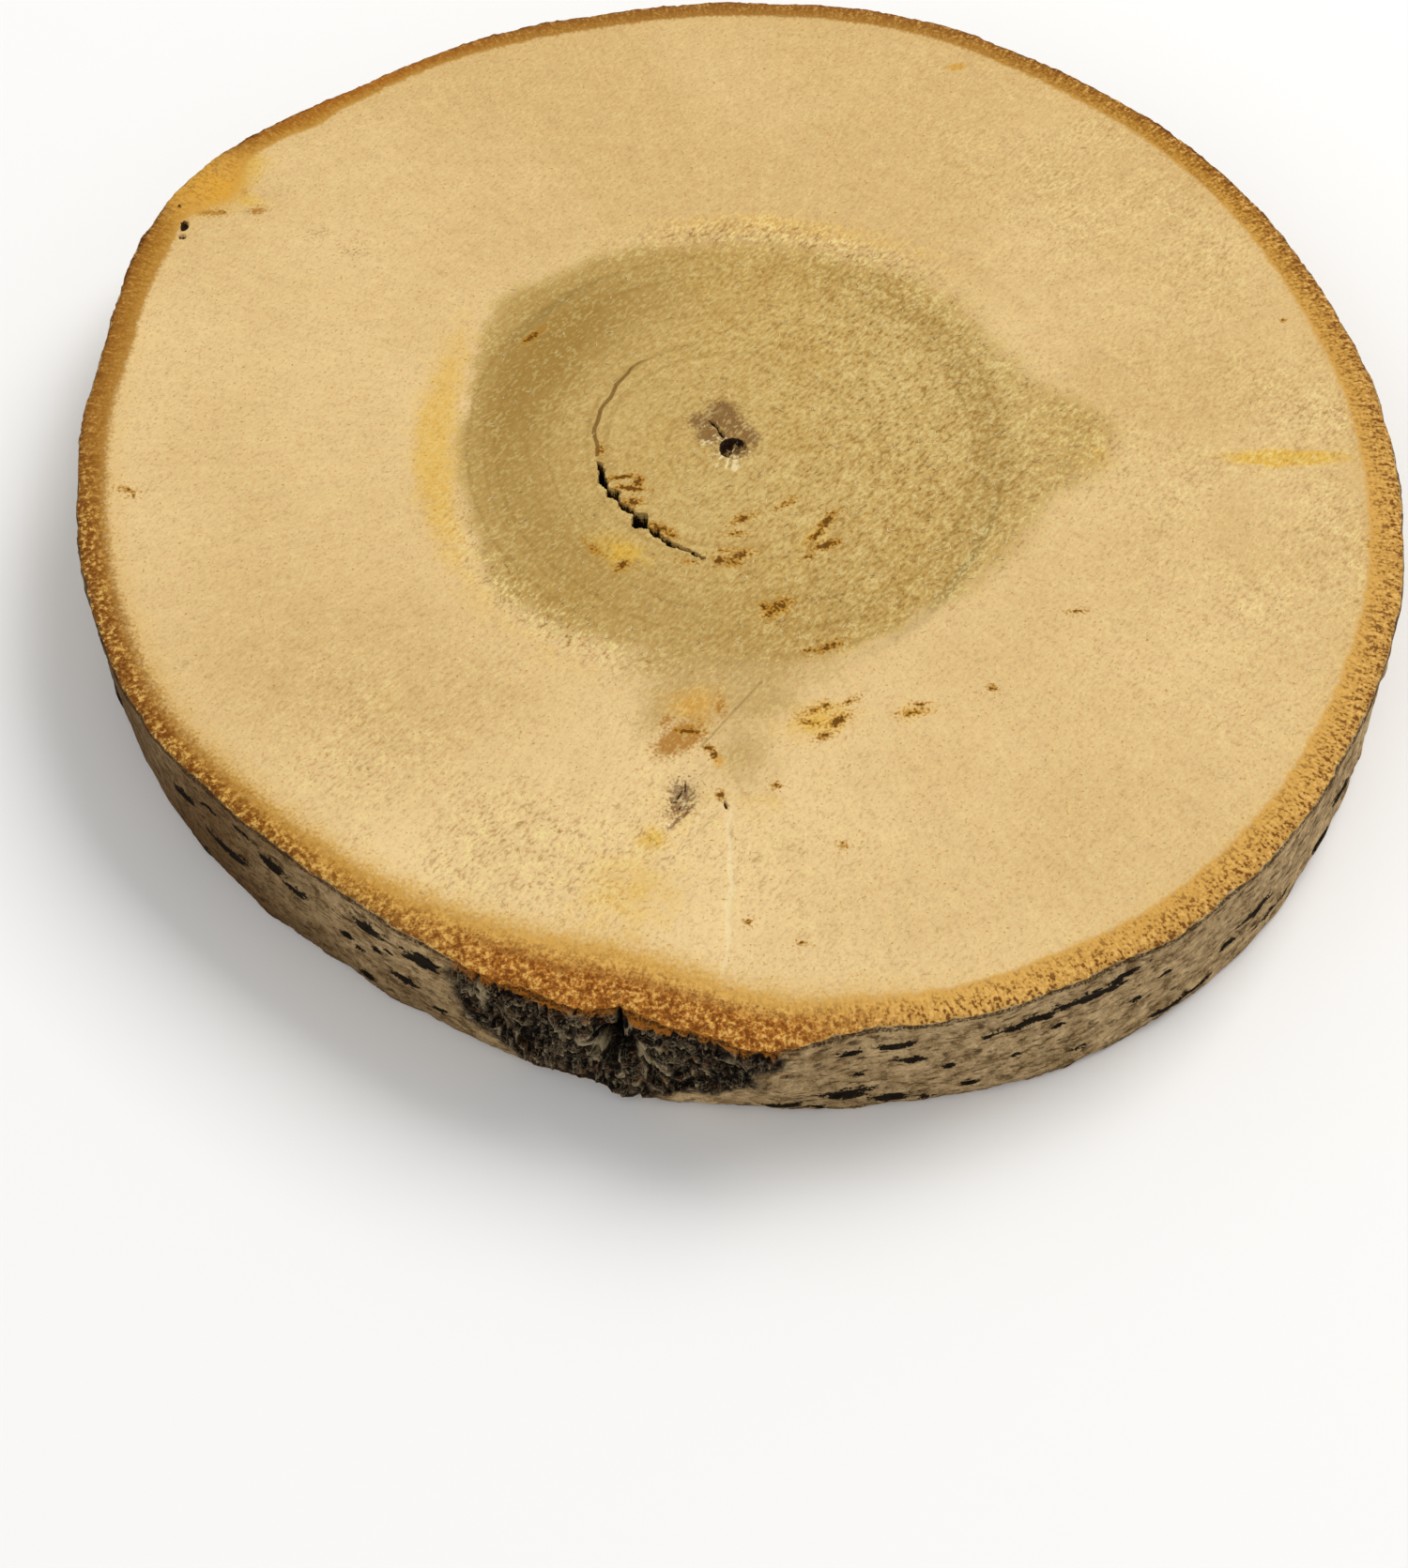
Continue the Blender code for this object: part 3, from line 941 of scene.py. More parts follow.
    def store(self, item: Item, upper: Array, at: Places) -> None:
        """Keep on a mesh every field that its material reads.

        Args:
            item: the mesh object.
            upper: True for each vertex of the top.
            at: where each vertex is.
        """
        on_top = upper.astype(float)
        keep_fields(item, {
            "ring": self.form.ring(at), "stain": self.stain.cover(at), "shadow": self.stain.shadow(at),
            "line": self.stain.line(at), "halo": self.halo(at), "rough": self.roughness(at),
            "tone": self.tone(at), "scratch": on_top * self.scratches(at),
            "check": on_top * self.check(at), "hair": on_top * self.shake.line(at),
        })
        own = self.from_pith(at)
        # Painted shade, near black: in the open crack, round the pith hollow's wall and on the hollow's
        # upper-left side
        crack = 1.0 - smooth_step(-0.05, 0.12, self.shake.distance(at))
        hollow = smooth_step(0.2, 0.8, self.pith_depth(at))
        shaded = smooth_step(0.5, -0.4, own.x - own.y)
        brim_shade = np.exp(-((own.radii - 0.95 * self.pith_radius) / 0.2) ** 2) * (0.42 + 0.5 * shaded)
        extra = {
            Ink.DARK: np.maximum(crack, np.maximum(brim_shade, 0.5 * hollow * shaded)),
            Ink.PLUM: hollow, Ink.PALE: self.star(at) * (1.0 - hollow),
        }
        keep_fields(item, {ink.value: np.maximum(on_top * self.mark_field(ink, at), extra.get(ink, 0.0))
                           for ink in Ink})


@dataclass
class BarkLook:
    """The bark's own relief: lenticels on smooth skin, and the scar of rough old bark."""

    form: SliceForm
    lumps: tuple[tuple[float, float], ...] = ((3.2, 0.10), (1.1, 0.05))
    lenticels: tuple[tuple[float, float, float, float], ...] = (
        # Angle, height, half length and half height
        (-142.3, 7.6, 1.3, 0.50), (-137.0, 5.8, 2.3, 0.42), (-131.6, 8.6, 1.6, 0.48), (-128.9, 7.4, 1.1, 0.48),
        (-141.5, 1.6, 1.3, 0.36), (-120.9, 9.4, 1.2, 0.45), (-115.7, 9.2, 1.5, 0.72), (-117.8, 4.6, 1.0, 0.58),
        (-121.7, 2.0, 0.8, 0.34), (-87.0, 1.5, 1.3, 0.34), (-81.9, 3.0, 1.6, 0.68), (-78.7, 1.6, 1.5, 0.52),
        (-82.1, 9.2, 0.8, 0.30), (-78.5, 9.4, 1.4, 0.32), (-77.3, 7.1, 0.9, 0.32), (-68.4, 8.6, 2.3, 0.40),
        (-63.6, 9.2, 2.6, 0.48), (-54.8, 1.6, 2.9, 0.32), (-47.1, 6.0, 2.1, 0.30), (-44.6, 3.0, 2.2, 0.32),
    )
    dots: tuple[tuple[float, float, float, float], ...] = (
        (-60.5, 9.9, 1.3, 0.30), (-50.0, 4.3, 0.8, 0.34), (-63.9, 2.4, 0.6, 0.26), (-59.4, 5.4, 0.5, 0.26),
        (-71.6, 8.3, 0.6, 0.24), (-81.4, 5.6, 0.5, 0.24), (-114.6, 2.6, 0.6, 0.36), (-139.1, 9.0, 0.8, 0.30),
        (-134.6, 9.6, 0.8, 0.26), (-123.5, 5.9, 0.6, 0.32), (-122.3, 5.0, 0.5, 0.30), (-120.2, 6.7, 0.5, 0.30),
        (-119.0, 7.6, 0.4, 0.22), (-74.5, 5.2, 0.5, 0.20), (-72.9, 2.2, 0.7, 0.24), (-66.0, 6.4, 0.5, 0.20),
        (-57.0, 7.4, 0.5, 0.20), (-84.5, 0.9, 0.9, 0.28), (-75.8, 0.8, 0.7, 0.26), (-69.3, 4.3, 0.5, 0.22),
    )
    back_count: int = 70
    back_start: float = -36.0
    back_end: float = 205.0
    seed: int = 7
    half_length: tuple[float, float] = (1.3, 2.6)
    back_share: tuple[float, float] = (0.35, 1.0)
    dot_count: int = 110
    dot_length: tuple[float, float] = (0.3, 0.8)
    margin: float = 1.4
    lip: float = 0.10
    slit: float = 0.26
    scar_angle: float = -100.2
    scar_half_width: float = 13.8
    scar_slant: float = 0.45
    scar_height: float = 8.0
    scar_half_height: float = 9.2
    flake_size: float = 4.6
    flake_steps: float = 3.8
    flake_height: float = 0.65
    curl_angle: float = -94.6
    curl_height: float = 5.6
    curl_size: tuple[float, float] = (3.8, 4.8)
    curl_spacing: float = 0.95
    hole_angle: float = -99.2
    hole_height: float = 7.4
    lips: tuple[tuple[float, float, float, float], ...] = (
        # First and last end of each pale torn lip, across and up from the hole's middle
        (-3.2, 0.0, -1.1, -1.3), (1.4, -1.0, 3.9, -2.5), (1.7, 1.2, 3.0, 0.8), (8.0, 1.2, 9.6, 0.5),
        (-11.0, 2.7, -10.0, 1.4), (-12.2, 1.0, -10.9, 0.5),
    )
    lip_width: float = 0.17

    def __post_init__(self) -> None:
        """Add the small dots, and lenticels scattered round the back with a seeded draw."""
        dice = random.Random(self.seed)
        own = random.Random(self.seed + 1)
        step = (self.back_end - self.back_start) / self.back_count
        back = []
        for index in range(self.back_count):
            angle = self.back_start + (index + dice.uniform(-0.4, 0.4)) * step
            height = dice.uniform(self.margin, self.form.thickness - self.margin)
            half_length = dice.uniform(*self.half_length)
            share = own.uniform(*self.back_share)
            back.append((angle, height, 0.85 * half_length * share ** 0.3, (0.16 + 0.13 * half_length) * share))
        for _ in range(self.dot_count):
            height = own.uniform(0.5, self.form.thickness - 0.5)
            half_length = own.uniform(*self.dot_length)
            angle = own.uniform(self.back_start, self.back_end)
            back.append((angle, height, half_length, 0.14 + 0.16 * half_length))
        self.lenticels = (*self.lenticels, *self.dots, *back)

    def lenticel_places(self, angles: Array, heights: Array) -> Array:
        """Distance from the nearest lenticel's middle, where 1 is its edge.

        Args:
            angles: degrees round the slice.
            heights: millimetres above the base.

        Returns:
            The distance at each place, in shares of that lenticel's size.
        """
        nearest = np.full(len(angles), 9.0)
        for angle, height, half_length, half_height in self.lenticels:
            across = arc_from(angles, angle) / half_length
            nearest = np.minimum(nearest, np.hypot(across, (heights - height) / half_height))
        return nearest

    def scar(self, angles: Array, heights: Array) -> Array:
        """Where the scar is, with a ragged edge.

        Args:
            angles: degrees round the slice.
            heights: millimetres above the base.

        Returns:
            1 in the scar and 0 outside it.
        """
        turned = turn_between(angles, self.scar_angle)
        turned = turned + self.scar_slant * np.where(turned > 0.0, self.scar_height - heights, 0.0)
        across = turned / self.scar_half_width
        up = (heights - self.scar_height) / self.scar_half_height
        ragged = 0.09 * lump_noise(self.skin_points(angles, heights), 2.2, 2)
        return smooth_step(0.0, 0.12, 1.0 - np.hypot(across, up) + ragged)

    def skin_points(self, angles: Array, heights: Array) -> Array:
        """Places on the plain round skin, for noise to read."""
        return Places.around(angles, MEAN_RADIUS).raised(heights)

    def flakes(self, angles: Array, heights: Array) -> Array:
        """Overlapping flakes of old bark, curled round in a large plate beside the hole.

        Args:
            angles: degrees round the slice.
            heights: millimetres above the base.

        Returns:
            Each place's rise on its own flake, from 0 in the gap to 1 at the lip.
        """
        points = self.skin_points(angles, heights)
        layer = self.flake_steps * lump_noise(points * (1.0, 1.0, 0.6), self.flake_size, 3)
        across = arc_from(angles, self.curl_angle)
        up = heights - self.curl_height + 0.35 * across
        reach = np.hypot(across / self.curl_size[0], up / self.curl_size[1])
        curled = (reach + 0.16 * lump_noise(points, 1.6, 2)) * self.curl_size[0] / self.curl_spacing
        layer = np.where(smooth_step(0.85, 1.1, reach) < 0.5, -curled, layer)
        return layer - np.floor(layer)

    def hole(self, angles: Array, heights: Array) -> Array:
        """Where the scar's dark hole is, and the split above it.

        Args:
            angles: degrees round the slice.
            heights: millimetres above the base.

        Returns:
            1 in the hole and 0 outside it.
        """
        across = arc_from(angles, self.hole_angle)
        up = heights - self.hole_height
        hole = np.exp(-(np.hypot((across + 0.3 * up) / 1.5, up / 1.45) ** 4))
        split = np.exp(-(across / 0.22) ** 2) * smooth_step(0.0, 0.8, up)
        return np.maximum(hole, 0.55 * split)

    def torn_lips(self, angles: Array, heights: Array) -> Array:
        """The pale torn lips beside the hole.

        Args:
            angles: degrees round the slice.
            heights: millimetres above the base.

        Returns:
            Their strength at each place, from 0 to 1.
        """
        points = np.stack([arc_from(angles, self.hole_angle), heights - self.hole_height], axis=1)
        wobble = 0.25 * lump_noise(self.skin_points(angles, heights), 1.1, 2)
        strongest = np.zeros(len(angles))
        for first_x, first_y, last_x, last_y in self.lips:
            first, run = np.array((first_x, first_y)), np.array((last_x - first_x, last_y - first_y))
            share = np.clip((points - first) @ run / (run @ run), 0.0, 1.0)
            distance = np.linalg.norm(points - first - share[:, None] * run, axis=1) + wobble
            strongest = np.maximum(strongest, np.exp(-(distance / self.lip_width) ** 2))
        return strongest

    def relief(self, angles: Array, heights: Array) -> Array:
        """Height of the fine relief on the skin, over the frame's own shape.

        Args:
            angles: degrees round the slice.
            heights: millimetres above the base.

        Returns:
            Heights in millimetres.
        """
        points = self.skin_points(angles, heights)
        total = sum(height * lump_noise(points, size) for size, height in self.lumps)
        total += 0.05 * lump_noise(points * (0.35, 0.35, 1.0), 0.5)
        place = self.lenticel_places(angles, heights)
        bump = self.lip * np.exp(-((place - 1.1) / 0.4) ** 2) - self.slit * np.exp(-(place / 0.7) ** 2)
        scar = self.scar(angles, heights)
        total += (1.0 - scar) * bump
        inside = scar > SCAR_EDGE
        near = points[inside]
        rough = self.flake_height * (self.flakes(angles[inside], heights[inside]) - 0.5)
        rough += 0.35 * lump_noise(near, 2.4) + 0.10 * lump_noise(near, 0.5, 2)
        rough += 0.30 * self.torn_lips(angles[inside], heights[inside])
        from_edge = np.minimum(heights, self.form.thickness - heights)[inside]
        total[inside] += scar[inside] * rough * (0.3 + 0.7 * smooth_step(0.0, 1.6, from_edge))
        below_edge = smooth_step(0.0, 0.8, self.form.thickness - heights)
        return total - 1.6 * scar * self.hole(angles, heights) * (0.35 + 0.65 * below_edge)

    def char(self, angles: Array, heights: Array) -> Array:
        """How far each place of the scar stands out of its gaps, which sets its painted highlight and shade: 0
        is black.
        """
        return self.flakes(angles, heights) * (1.0 - self.hole(angles, heights))

    def wear(self, angles: Array, heights: Array) -> Array:
        """How far the saw chipped the skin back from each sawn edge.

        Args:
            angles: degrees round the slice.
            heights: millimetres above the base.

        Returns:
            Depths in millimetres.
        """
        from_edge = np.minimum(heights, self.form.thickness - heights)
        chips = np.abs(lump_noise(self.skin_points(angles, heights), 0.9, 2))
        return (0.04 + 0.30 * chips) * (1.0 - smooth_step(0.0, 0.55, from_edge))


class Graph:
    """A material's nodes, added one at a time with their settings and links."""

    def __init__(self, name: str) -> None:
        """Start an empty material.

        Args:
            name: what the surface is and how it was made.
        """
        self.material = bpy.data.materials.new(name)
        self.material.use_nodes = True
        self.nodes = self.material.node_tree.nodes
        self.links = self.material.node_tree.links
        self.shader = self.nodes["Principled BSDF"]

    def add(self, kind: str, inputs: dict | None = None, operation: str = "", out: int | str = 0,
            ramp: tuple[tuple[float, str], ...] = (), **settings: object) -> Socket:
        """Add a node.

        Args:
            kind: the node's type, without its common first part.
            inputs: a value or another node's output for each input socket, by name or number.
            operation: what a node of maths does.
            out: which output to return.
            ramp: places and colours, for a colour ramp.
            settings: the node's own properties.

        Returns:
            The chosen output socket.
        """
        node = self.nodes.new("ShaderNode" + kind)
        if operation:
            node.operation = operation
        for name, value in settings.items():
            setattr(node, name, value)
        for index, (place, colour) in enumerate(ramp):
            stops = node.color_ramp.elements
            stop = stops[index] if index < len(stops) else stops.new(place)
            stop.position = place
            stop.color = linear(colour)
        self.join(node, inputs or {})
        return node.outputs[out]

    def join(self, node: bpy.types.Node, inputs: dict) -> None:
        """Set or link a node's inputs.

        Args:
            node: the node.
            inputs: a value or an output socket for each input socket.
        """
        for socket, value in inputs.items():
            if isinstance(value, Socket):
                self.links.new(value, node.inputs[socket])
            elif isinstance(value, str):
                node.inputs[socket].default_value = linear(value)
            else:
                node.inputs[socket].default_value = value


    def point(self, axis: tuple[float, float, float]) -> Socket:
        """Read each place on the object.

        Args:
            axis: the branch's axis in the frame, in metres.

        Returns:
            The place from that axis, in millimetres.
        """
        place = self.add("TexCoord", out="Object")
        from_axis = self.add("VectorMath", {0: place, 1: axis}, "SUBTRACT")
        return self.add("VectorMath", {0: from_axis, "Scale": 1.0 / MM}, "SCALE")

    def lay(self, below: Socket | str, colour: Socket | str, level: Socket, edge: tuple[float | Socket, ...],
            most: float | Socket = 1.0, within: Socket | None = None, soft: bool = False) -> Socket:
        """Lay a colour over another where a level passes an edge.

        Args:
            below: the colour so far.
            colour: the colour laid over it, or a string of its hex value.
            level: noise or a field of the mesh.
            edge: the level where the colour starts and where it is full.
            most: how much it covers at the full level.
            within: what the cover is multiplied by, if anything.
            soft: whether the cover eases in and out.

        Returns:
            The new colour.
        """
        cover = self.add("MapRange", {"Value": level, "From Min": edge[0], "From Max": edge[1], "To Max": most},
                         interpolation_type="SMOOTHSTEP" if soft else "LINEAR")
        if within is not None:
            cover = self.add("Math", {0: cover, 1: within}, "MULTIPLY")
        return self.add("MixRGB", {0: cover, 1: below, 2: colour})

    def shade(self, below: Socket, level: Socket) -> Socket:
        """Multiply a colour by one grey level."""
        grey = self.add("CombineColor", {0: level, 1: level, 2: level})
        return self.add("MixRGB", {0: 1.0, 1: below, 2: grey}, blend_type="MULTIPLY")


@dataclass(frozen=True)
class SawnFinish:
    """Bare wood and bark as a saw left them, on both sawn faces.

    Sizes are the real ones in millimetres; the fur's is drawn a little coarser than wood fibre,
    so that it shows.
    """

    axis: tuple[float, float, float]
    cream: str = "#EBCB93"
    cream_low: str = "#D4B177"
    ring_line: str = "#CBA567"
    stain: str = "#CCAD6C"
    stain_low: str = "#C3A05C"
    shadow: str = "#A07E3E"
    grey_line: str = "#86713F"
    halo: str = "#DCAE46"
    tan: str = "#B8975A"
    yellow: str = "#DDAE38"
    orange: str = "#D09B40"
    fleck: str = "#5B3607"
    fleck_edge: str = "#B07A1E"
    brown: str = "#A66C18"
    # Near-black painted shade for cracks, holes and the pith's hollow
    dark: str = "#20100A"
    plum: str = "#6C4527"
    knot_grey: str = "#6B4B38"
    pale: str = "#F2E2B4"
    speck: str = "#9A7234"
    # Fur colours: partly the fibres' own grain, partly painted highlight on the tips and painted shade in the
    # pits
    lit_tip: str = "#F2DC96"
    shaded_pit: str = "#9C7636"
    hair: str = "#6E4A12"
    scored: str = "#8A6E38"
    bark_line: str = "#543014"
    bark_outer: str = "#94601E"
    bark_middle: str = "#AF7A2A"
    bark_inner: str = "#C39240"
    bark_deep: str = "#A5601A"
    grit_dark: str = "#6E3A0E"
    grit_light: str = "#EBBE66"
    umber: str = "#8A5A26"
    bark_warm: str = "#DDAC5A"
    bark_dark: str = "#6A3A12"
    bark_light: str = "#E6B768"
    resin: str = "#D9A03A"
    seep: str = "#CDA04E"
    cloud: float = 17.0
    fur: float = 0.30
    fur_stretch: float = 0.5
    fur_clump: float = 1.5
    crumb: float = 0.26
    grit: float = 0.42
    speck_spacing: float = 2.1
    relief: float = 0.19
    ring_spacing: float = 0.85
    ray_spacing: float = 0.5
    bark_fibre: float = 0.32
    roughness: float = 0.78

    def paint(self, graph: Graph, below: Socket, colour: str, field_name: str, jitter: Socket,
              edge: tuple[float, float], amount: float, spread: float) -> Socket:
        """Lay one colour over another where a field of the mesh is strong.

        Args:
            graph: the material.
            below: the colour so far.
            colour: the colour laid over it.
            field_name: the mesh attribute that says where.
            jitter: noise that breaks up its edge.
            edge: the field's values where the colour starts and where it is full.
            amount: the most that the colour covers.
            spread: how far the noise moves the edge, in the field's own units.

        Returns:
            The new colour.
        """
        where = graph.add("Attribute", attribute_name=field_name, out="Fac")
        moved = graph.add("Math", {0: jitter, 1: spread, 2: where}, "MULTIPLY_ADD")
        middle = 0.5 * spread
        return graph.lay(below, colour, moved, (edge[0] + middle, edge[1] + middle), amount, soft=True)

    def paint_all(self, graph: Graph, below: Socket, *layers: tuple) -> Socket:
        """Lay several colours, one over the other.

        Args:
            graph: the material.
            below: the colour so far.
            layers: what paint takes after it, for each colour.

        Returns:
            The new colour.
        """
        for layer in layers:
            below = self.paint(graph, below, *layer)
        return below

    def make(self) -> bpy.types.Material:
        """Build the material.

        Returns:
            The material, for the timber and for the bark's cut faces.
        """
        # Torn fibres scatter the light, so the wood looks matt, soft and slightly furry
        graph = Graph("sawn wood and cut bark")
        add = graph.add
        point = graph.point(self.axis)

        # Noise at four sizes: clouds across the face, clumps of fur, the fur, and brown crumbs
        cloud = add("TexNoise", {"Vector": point, "Scale": 1.0 / self.cloud, "Detail": 3.0})
        clump = add("TexNoise", {"Vector": point, "Scale": 1.0 / self.fur_clump, "Detail": 3.0,
                                 "Roughness": 0.6})
        turned = add("VectorRotate", {"Vector": point, "Angle": -math.radians(SAW_TURN)},
                     rotation_type="Z_AXIS")
        combed = add("VectorMath", {0: turned, 1: (self.fur_stretch, 1.0, 1.0)}, "MULTIPLY")
        fur = add("TexNoise", {"Vector": combed, "Scale": 1.0 / self.fur, "Detail": 2.0, "Roughness": 0.6})
        crumb = add("TexNoise", {"Vector": point, "Scale": 1.0 / self.crumb, "Detail": 2.0})
        rough = add("Attribute", attribute_name="rough", out="Fac")

        # Growth rings, from one row of noise read by the ring's own radius
        ring = add("Attribute", attribute_name="ring", out="Fac")
        waver = add("Math", {0: cloud, 1: 1.6, 2: ring}, "MULTIPLY_ADD")
        rings = add("TexNoise", {"W": waver, "Scale": 1.0 / self.ring_spacing, "Detail": 2.5},
                    noise_dimensions="1D")
        ring_cover = add("MapRange", {"Value": rings, "From Min": 0.50, "From Max": 0.72})

        # Rays: fine lines that run out from the pith
        flat = add("VectorMath", {0: point, 1: (1.0, 1.0, 0.0)}, "MULTIPLY")
        outward = add("VectorMath", {0: flat}, "NORMALIZE")
        round_place = add("VectorMath", {0: outward, "Scale": MEAN_RADIUS / self.ray_spacing}, "SCALE")
        along = add("CombineXYZ", {"Z": add("Math", {0: ring, 1: 0.22}, "MULTIPLY")})
        ray_place = add("VectorMath", {0: round_place, 1: along}, "ADD")
        rays = add("TexNoise", {"Vector": ray_place, "Scale": 1.0, "Detail": 1.0})

        tone = add("Attribute", attribute_name="tone", out="Fac")
        tone = add("Math", {0: add("Math", {0: cloud, 1: 0.5}, "SUBTRACT"), 1: 1.5, 2: tone},
                   "MULTIPLY_ADD", use_clamp=True)
        colour = add("MixRGB", {0: tone, 1: self.cream, 2: self.cream_low})
        faint = add("Math", {0: ring_cover, 1: 0.09}, "MULTIPLY")
        colour = add("MixRGB", {0: faint, 1: colour, 2: self.ring_line})
        colour = self.stain_layers(graph, colour, cloud, clump, fur, ring_cover)
        colour = self.paint_all(
            graph, colour, (self.tan, "tan", clump, (0.1, 0.9), 0.8, 0.9),
            (self.halo, "halo", clump, (0.1, 0.9), 0.7, 0.9),
            (self.yellow, "yellow", clump, (0.2, 0.75), 0.75, 0.6),
            (self.orange, "orange", clump, (0.25, 0.8), 0.85, 0.6),
            (self.plum, "plum", crumb, (0.15, 0.7), 0.8, 1.0),
            (self.knot_grey, "grey", crumb, (0.35, 0.75), 0.75, 1.6),
            (self.pale, "pale", fur, (0.4, 0.7), 0.6, 1.0),
            (self.brown, "ochre", crumb, (0.25, 0.75), 0.85, 1.0))
        colour = self.specks(graph, colour, point, clump)
        colour = self.fur_layers(graph, colour, fur, clump, rough, rays)
        colour = self.paint_all(
            graph, colour, (self.fleck_edge, "fleck", crumb, (0.15, 0.5), 0.82, 1.7),
            (self.fleck, "fleck", crumb, (0.56, 0.76), 0.88, 2.0),
            (self.hair, "hair", fur, (0.1, 0.6), 0.8, 1.1),
            (self.pale, "check", clump, (0.2, 1.0), 0.36, 1.8))
        colour = self.bark_layers(graph, colour, point, outward, crumb, clump)
        # Painted shade, near black, in cracks, holes and the pith's hollow; then the saw's scratches
        colour = self.paint_all(
            graph, colour, (self.dark, "dark", crumb, (0.38, 0.58), 0.96, 0.7),
            (self.scored, "scratch", fur, (0.2, 0.8), 0.55, 1.9))
        amount = add("Math", {0: rough, 1: 0.8, 2: 0.25}, "MULTIPLY_ADD")
        height = add("Math", {0: fur, 1: amount}, "MULTIPLY")
        height = add("Math", {0: crumb, 1: 0.35, 2: height}, "MULTIPLY_ADD")
        bump = add("Bump", {"Height": height, "Strength": 0.8, "Distance": self.relief * MM})
        graph.join(graph.shader, {"Base Color": colour, "Roughness": self.roughness, "Normal": bump,
                                  "Specular IOR Level": 0.06})
        return graph.material

    def stain_layers(self, graph: Graph, below: Socket, cloud: Socket, clump: Socket, fur: Socket,
                     ring_cover: Socket) -> Socket:
        """Lay the heart's stain, its dark band and its ring lines over the pale wood.

        Args:
            graph: the material.
            below: the pale wood's colour.
            cloud: wide soft noise.
            clump: noise as wide as a clump of fur.
            fur: noise as fine as the fur.
            ring_cover: how dark each growth ring is.

        Returns:
            The new colour.
        """
        add = graph.add
        inside, shadow, line = (add("Attribute", attribute_name=name, out="Fac")
                          for name in ("stain", "shadow", "line"))
        ragged = add("Math", {0: clump, 1: 1.0, 2: inside}, "MULTIPLY_ADD")
        ragged = add("Math", {0: fur, 1: 2.0, 2: ragged}, "MULTIPLY_ADD")
        cover = add("MapRange", {"Value": ragged, "From Min": 1.72, "From Max": 2.24},
                    interpolation_type="SMOOTHSTEP")
        bounded = add("Math", {0: inside, 1: 4.0}, "MULTIPLY", use_clamp=True)
        cover = add("Math", {0: cover, 1: bounded}, "MULTIPLY")
        patchy = add("MapRange", {"Value": cloud, "From Min": 0.35, "From Max": 0.65})
        tone = add("MixRGB", {0: patchy, 1: self.stain, 2: self.stain_low})
        colour = add("MixRGB", {0: cover, 1: below, 2: tone})
        shade = add("Math", {0: clump, 1: 0.8, 2: 0.5}, "MULTIPLY_ADD")
        shade = add("Math", {0: shade, 1: shadow}, "MULTIPLY", use_clamp=True)
        shade = add("Math", {0: shade, 1: cover}, "MULTIPLY")
        colour = add("MixRGB", {0: shade, 1: colour, 2: self.shadow})
        lined = add("Math", {0: ring_cover, 1: cover}, "MULTIPLY")
        strength = add("Math", {0: shadow, 1: 0.5, 2: 0.28}, "MULTIPLY_ADD")
        lined = add("Math", {0: lined, 1: strength}, "MULTIPLY")
        colour = add("MixRGB", {0: lined, 1: colour, 2: self.shadow})
        line = add("Math", {0: line, 1: clump}, "MULTIPLY", use_clamp=True)
        return add("MixRGB", {0: line, 1: colour, 2: self.grey_line})

    def specks(self, graph: Graph, below: Socket, point: Socket, clump: Socket) -> Socket:
        """Scatter tiny brown specks, one in about every 2 mm.

        Args:
            graph: the material.
            below: the colour so far.
            point: the place in millimetres.
            clump: noise that varies their size.

        Returns:
            The new colour.
        """
        spot = graph.add("TexVoronoi", {"Vector": point, "Scale": 1.0 / self.speck_spacing}, out="Distance")
        size = graph.add("MapRange", {"Value": clump, "From Min": 0.5, "From Max": 0.8,
                                      "To Min": 0.0, "To Max": 0.09})
        cover = graph.add("Math", {0: spot, 1: size}, "LESS_THAN")
        cover = graph.add("Math", {0: cover, 1: 0.6}, "MULTIPLY")
        return graph.add("MixRGB", {0: cover, 1: below, 2: self.speck})

    def fur_layers(self, graph: Graph, below: Socket, fur: Socket, clump: Socket, rough: Socket,
                   rays: Socket) -> Socket:
        """Paler tips and darker pits of the torn fibres, stronger where the wood is rough: partly the fibres'
        own grain, partly painted highlight on the tips and painted shade in the pits.

        Args:
            graph: the material.
            below: the colour so far.
            fur: noise as fine as the fur.
            clump: noise as wide as a clump of it.
            rough: where the wood is furry.
            rays: noise in fine lines out from the pith.

        Returns:
            The new colour.
        """
        amount = graph.add("Math", {0: rough, 1: 0.9, 2: 0.10}, "MULTIPLY_ADD")
        stain = graph.add("Attribute", attribute_name="stain", out="Fac")
        plain = graph.add("Math", {0: stain, 1: -0.6, 2: 1.0}, "MULTIPLY_ADD")
        mixed = graph.add("Math", {0: clump, 1: 0.4, 2: fur}, "MULTIPLY_ADD")
        # Painted highlight on the fur's raised tips and painted shade in its pits
        colour = graph.lay(below, self.lit_tip, mixed, (0.72, 0.86), plain, amount)
        colour = graph.lay(colour, self.shaded_pit, mixed, (0.66, 0.50), 0.80, amount)
        lined = graph.add("MapRange", {"Value": rays, "From Min": 0.3, "From Max": 0.7,
                                       "To Min": 0.97, "To Max": 1.025})
        return graph.shade(colour, lined)

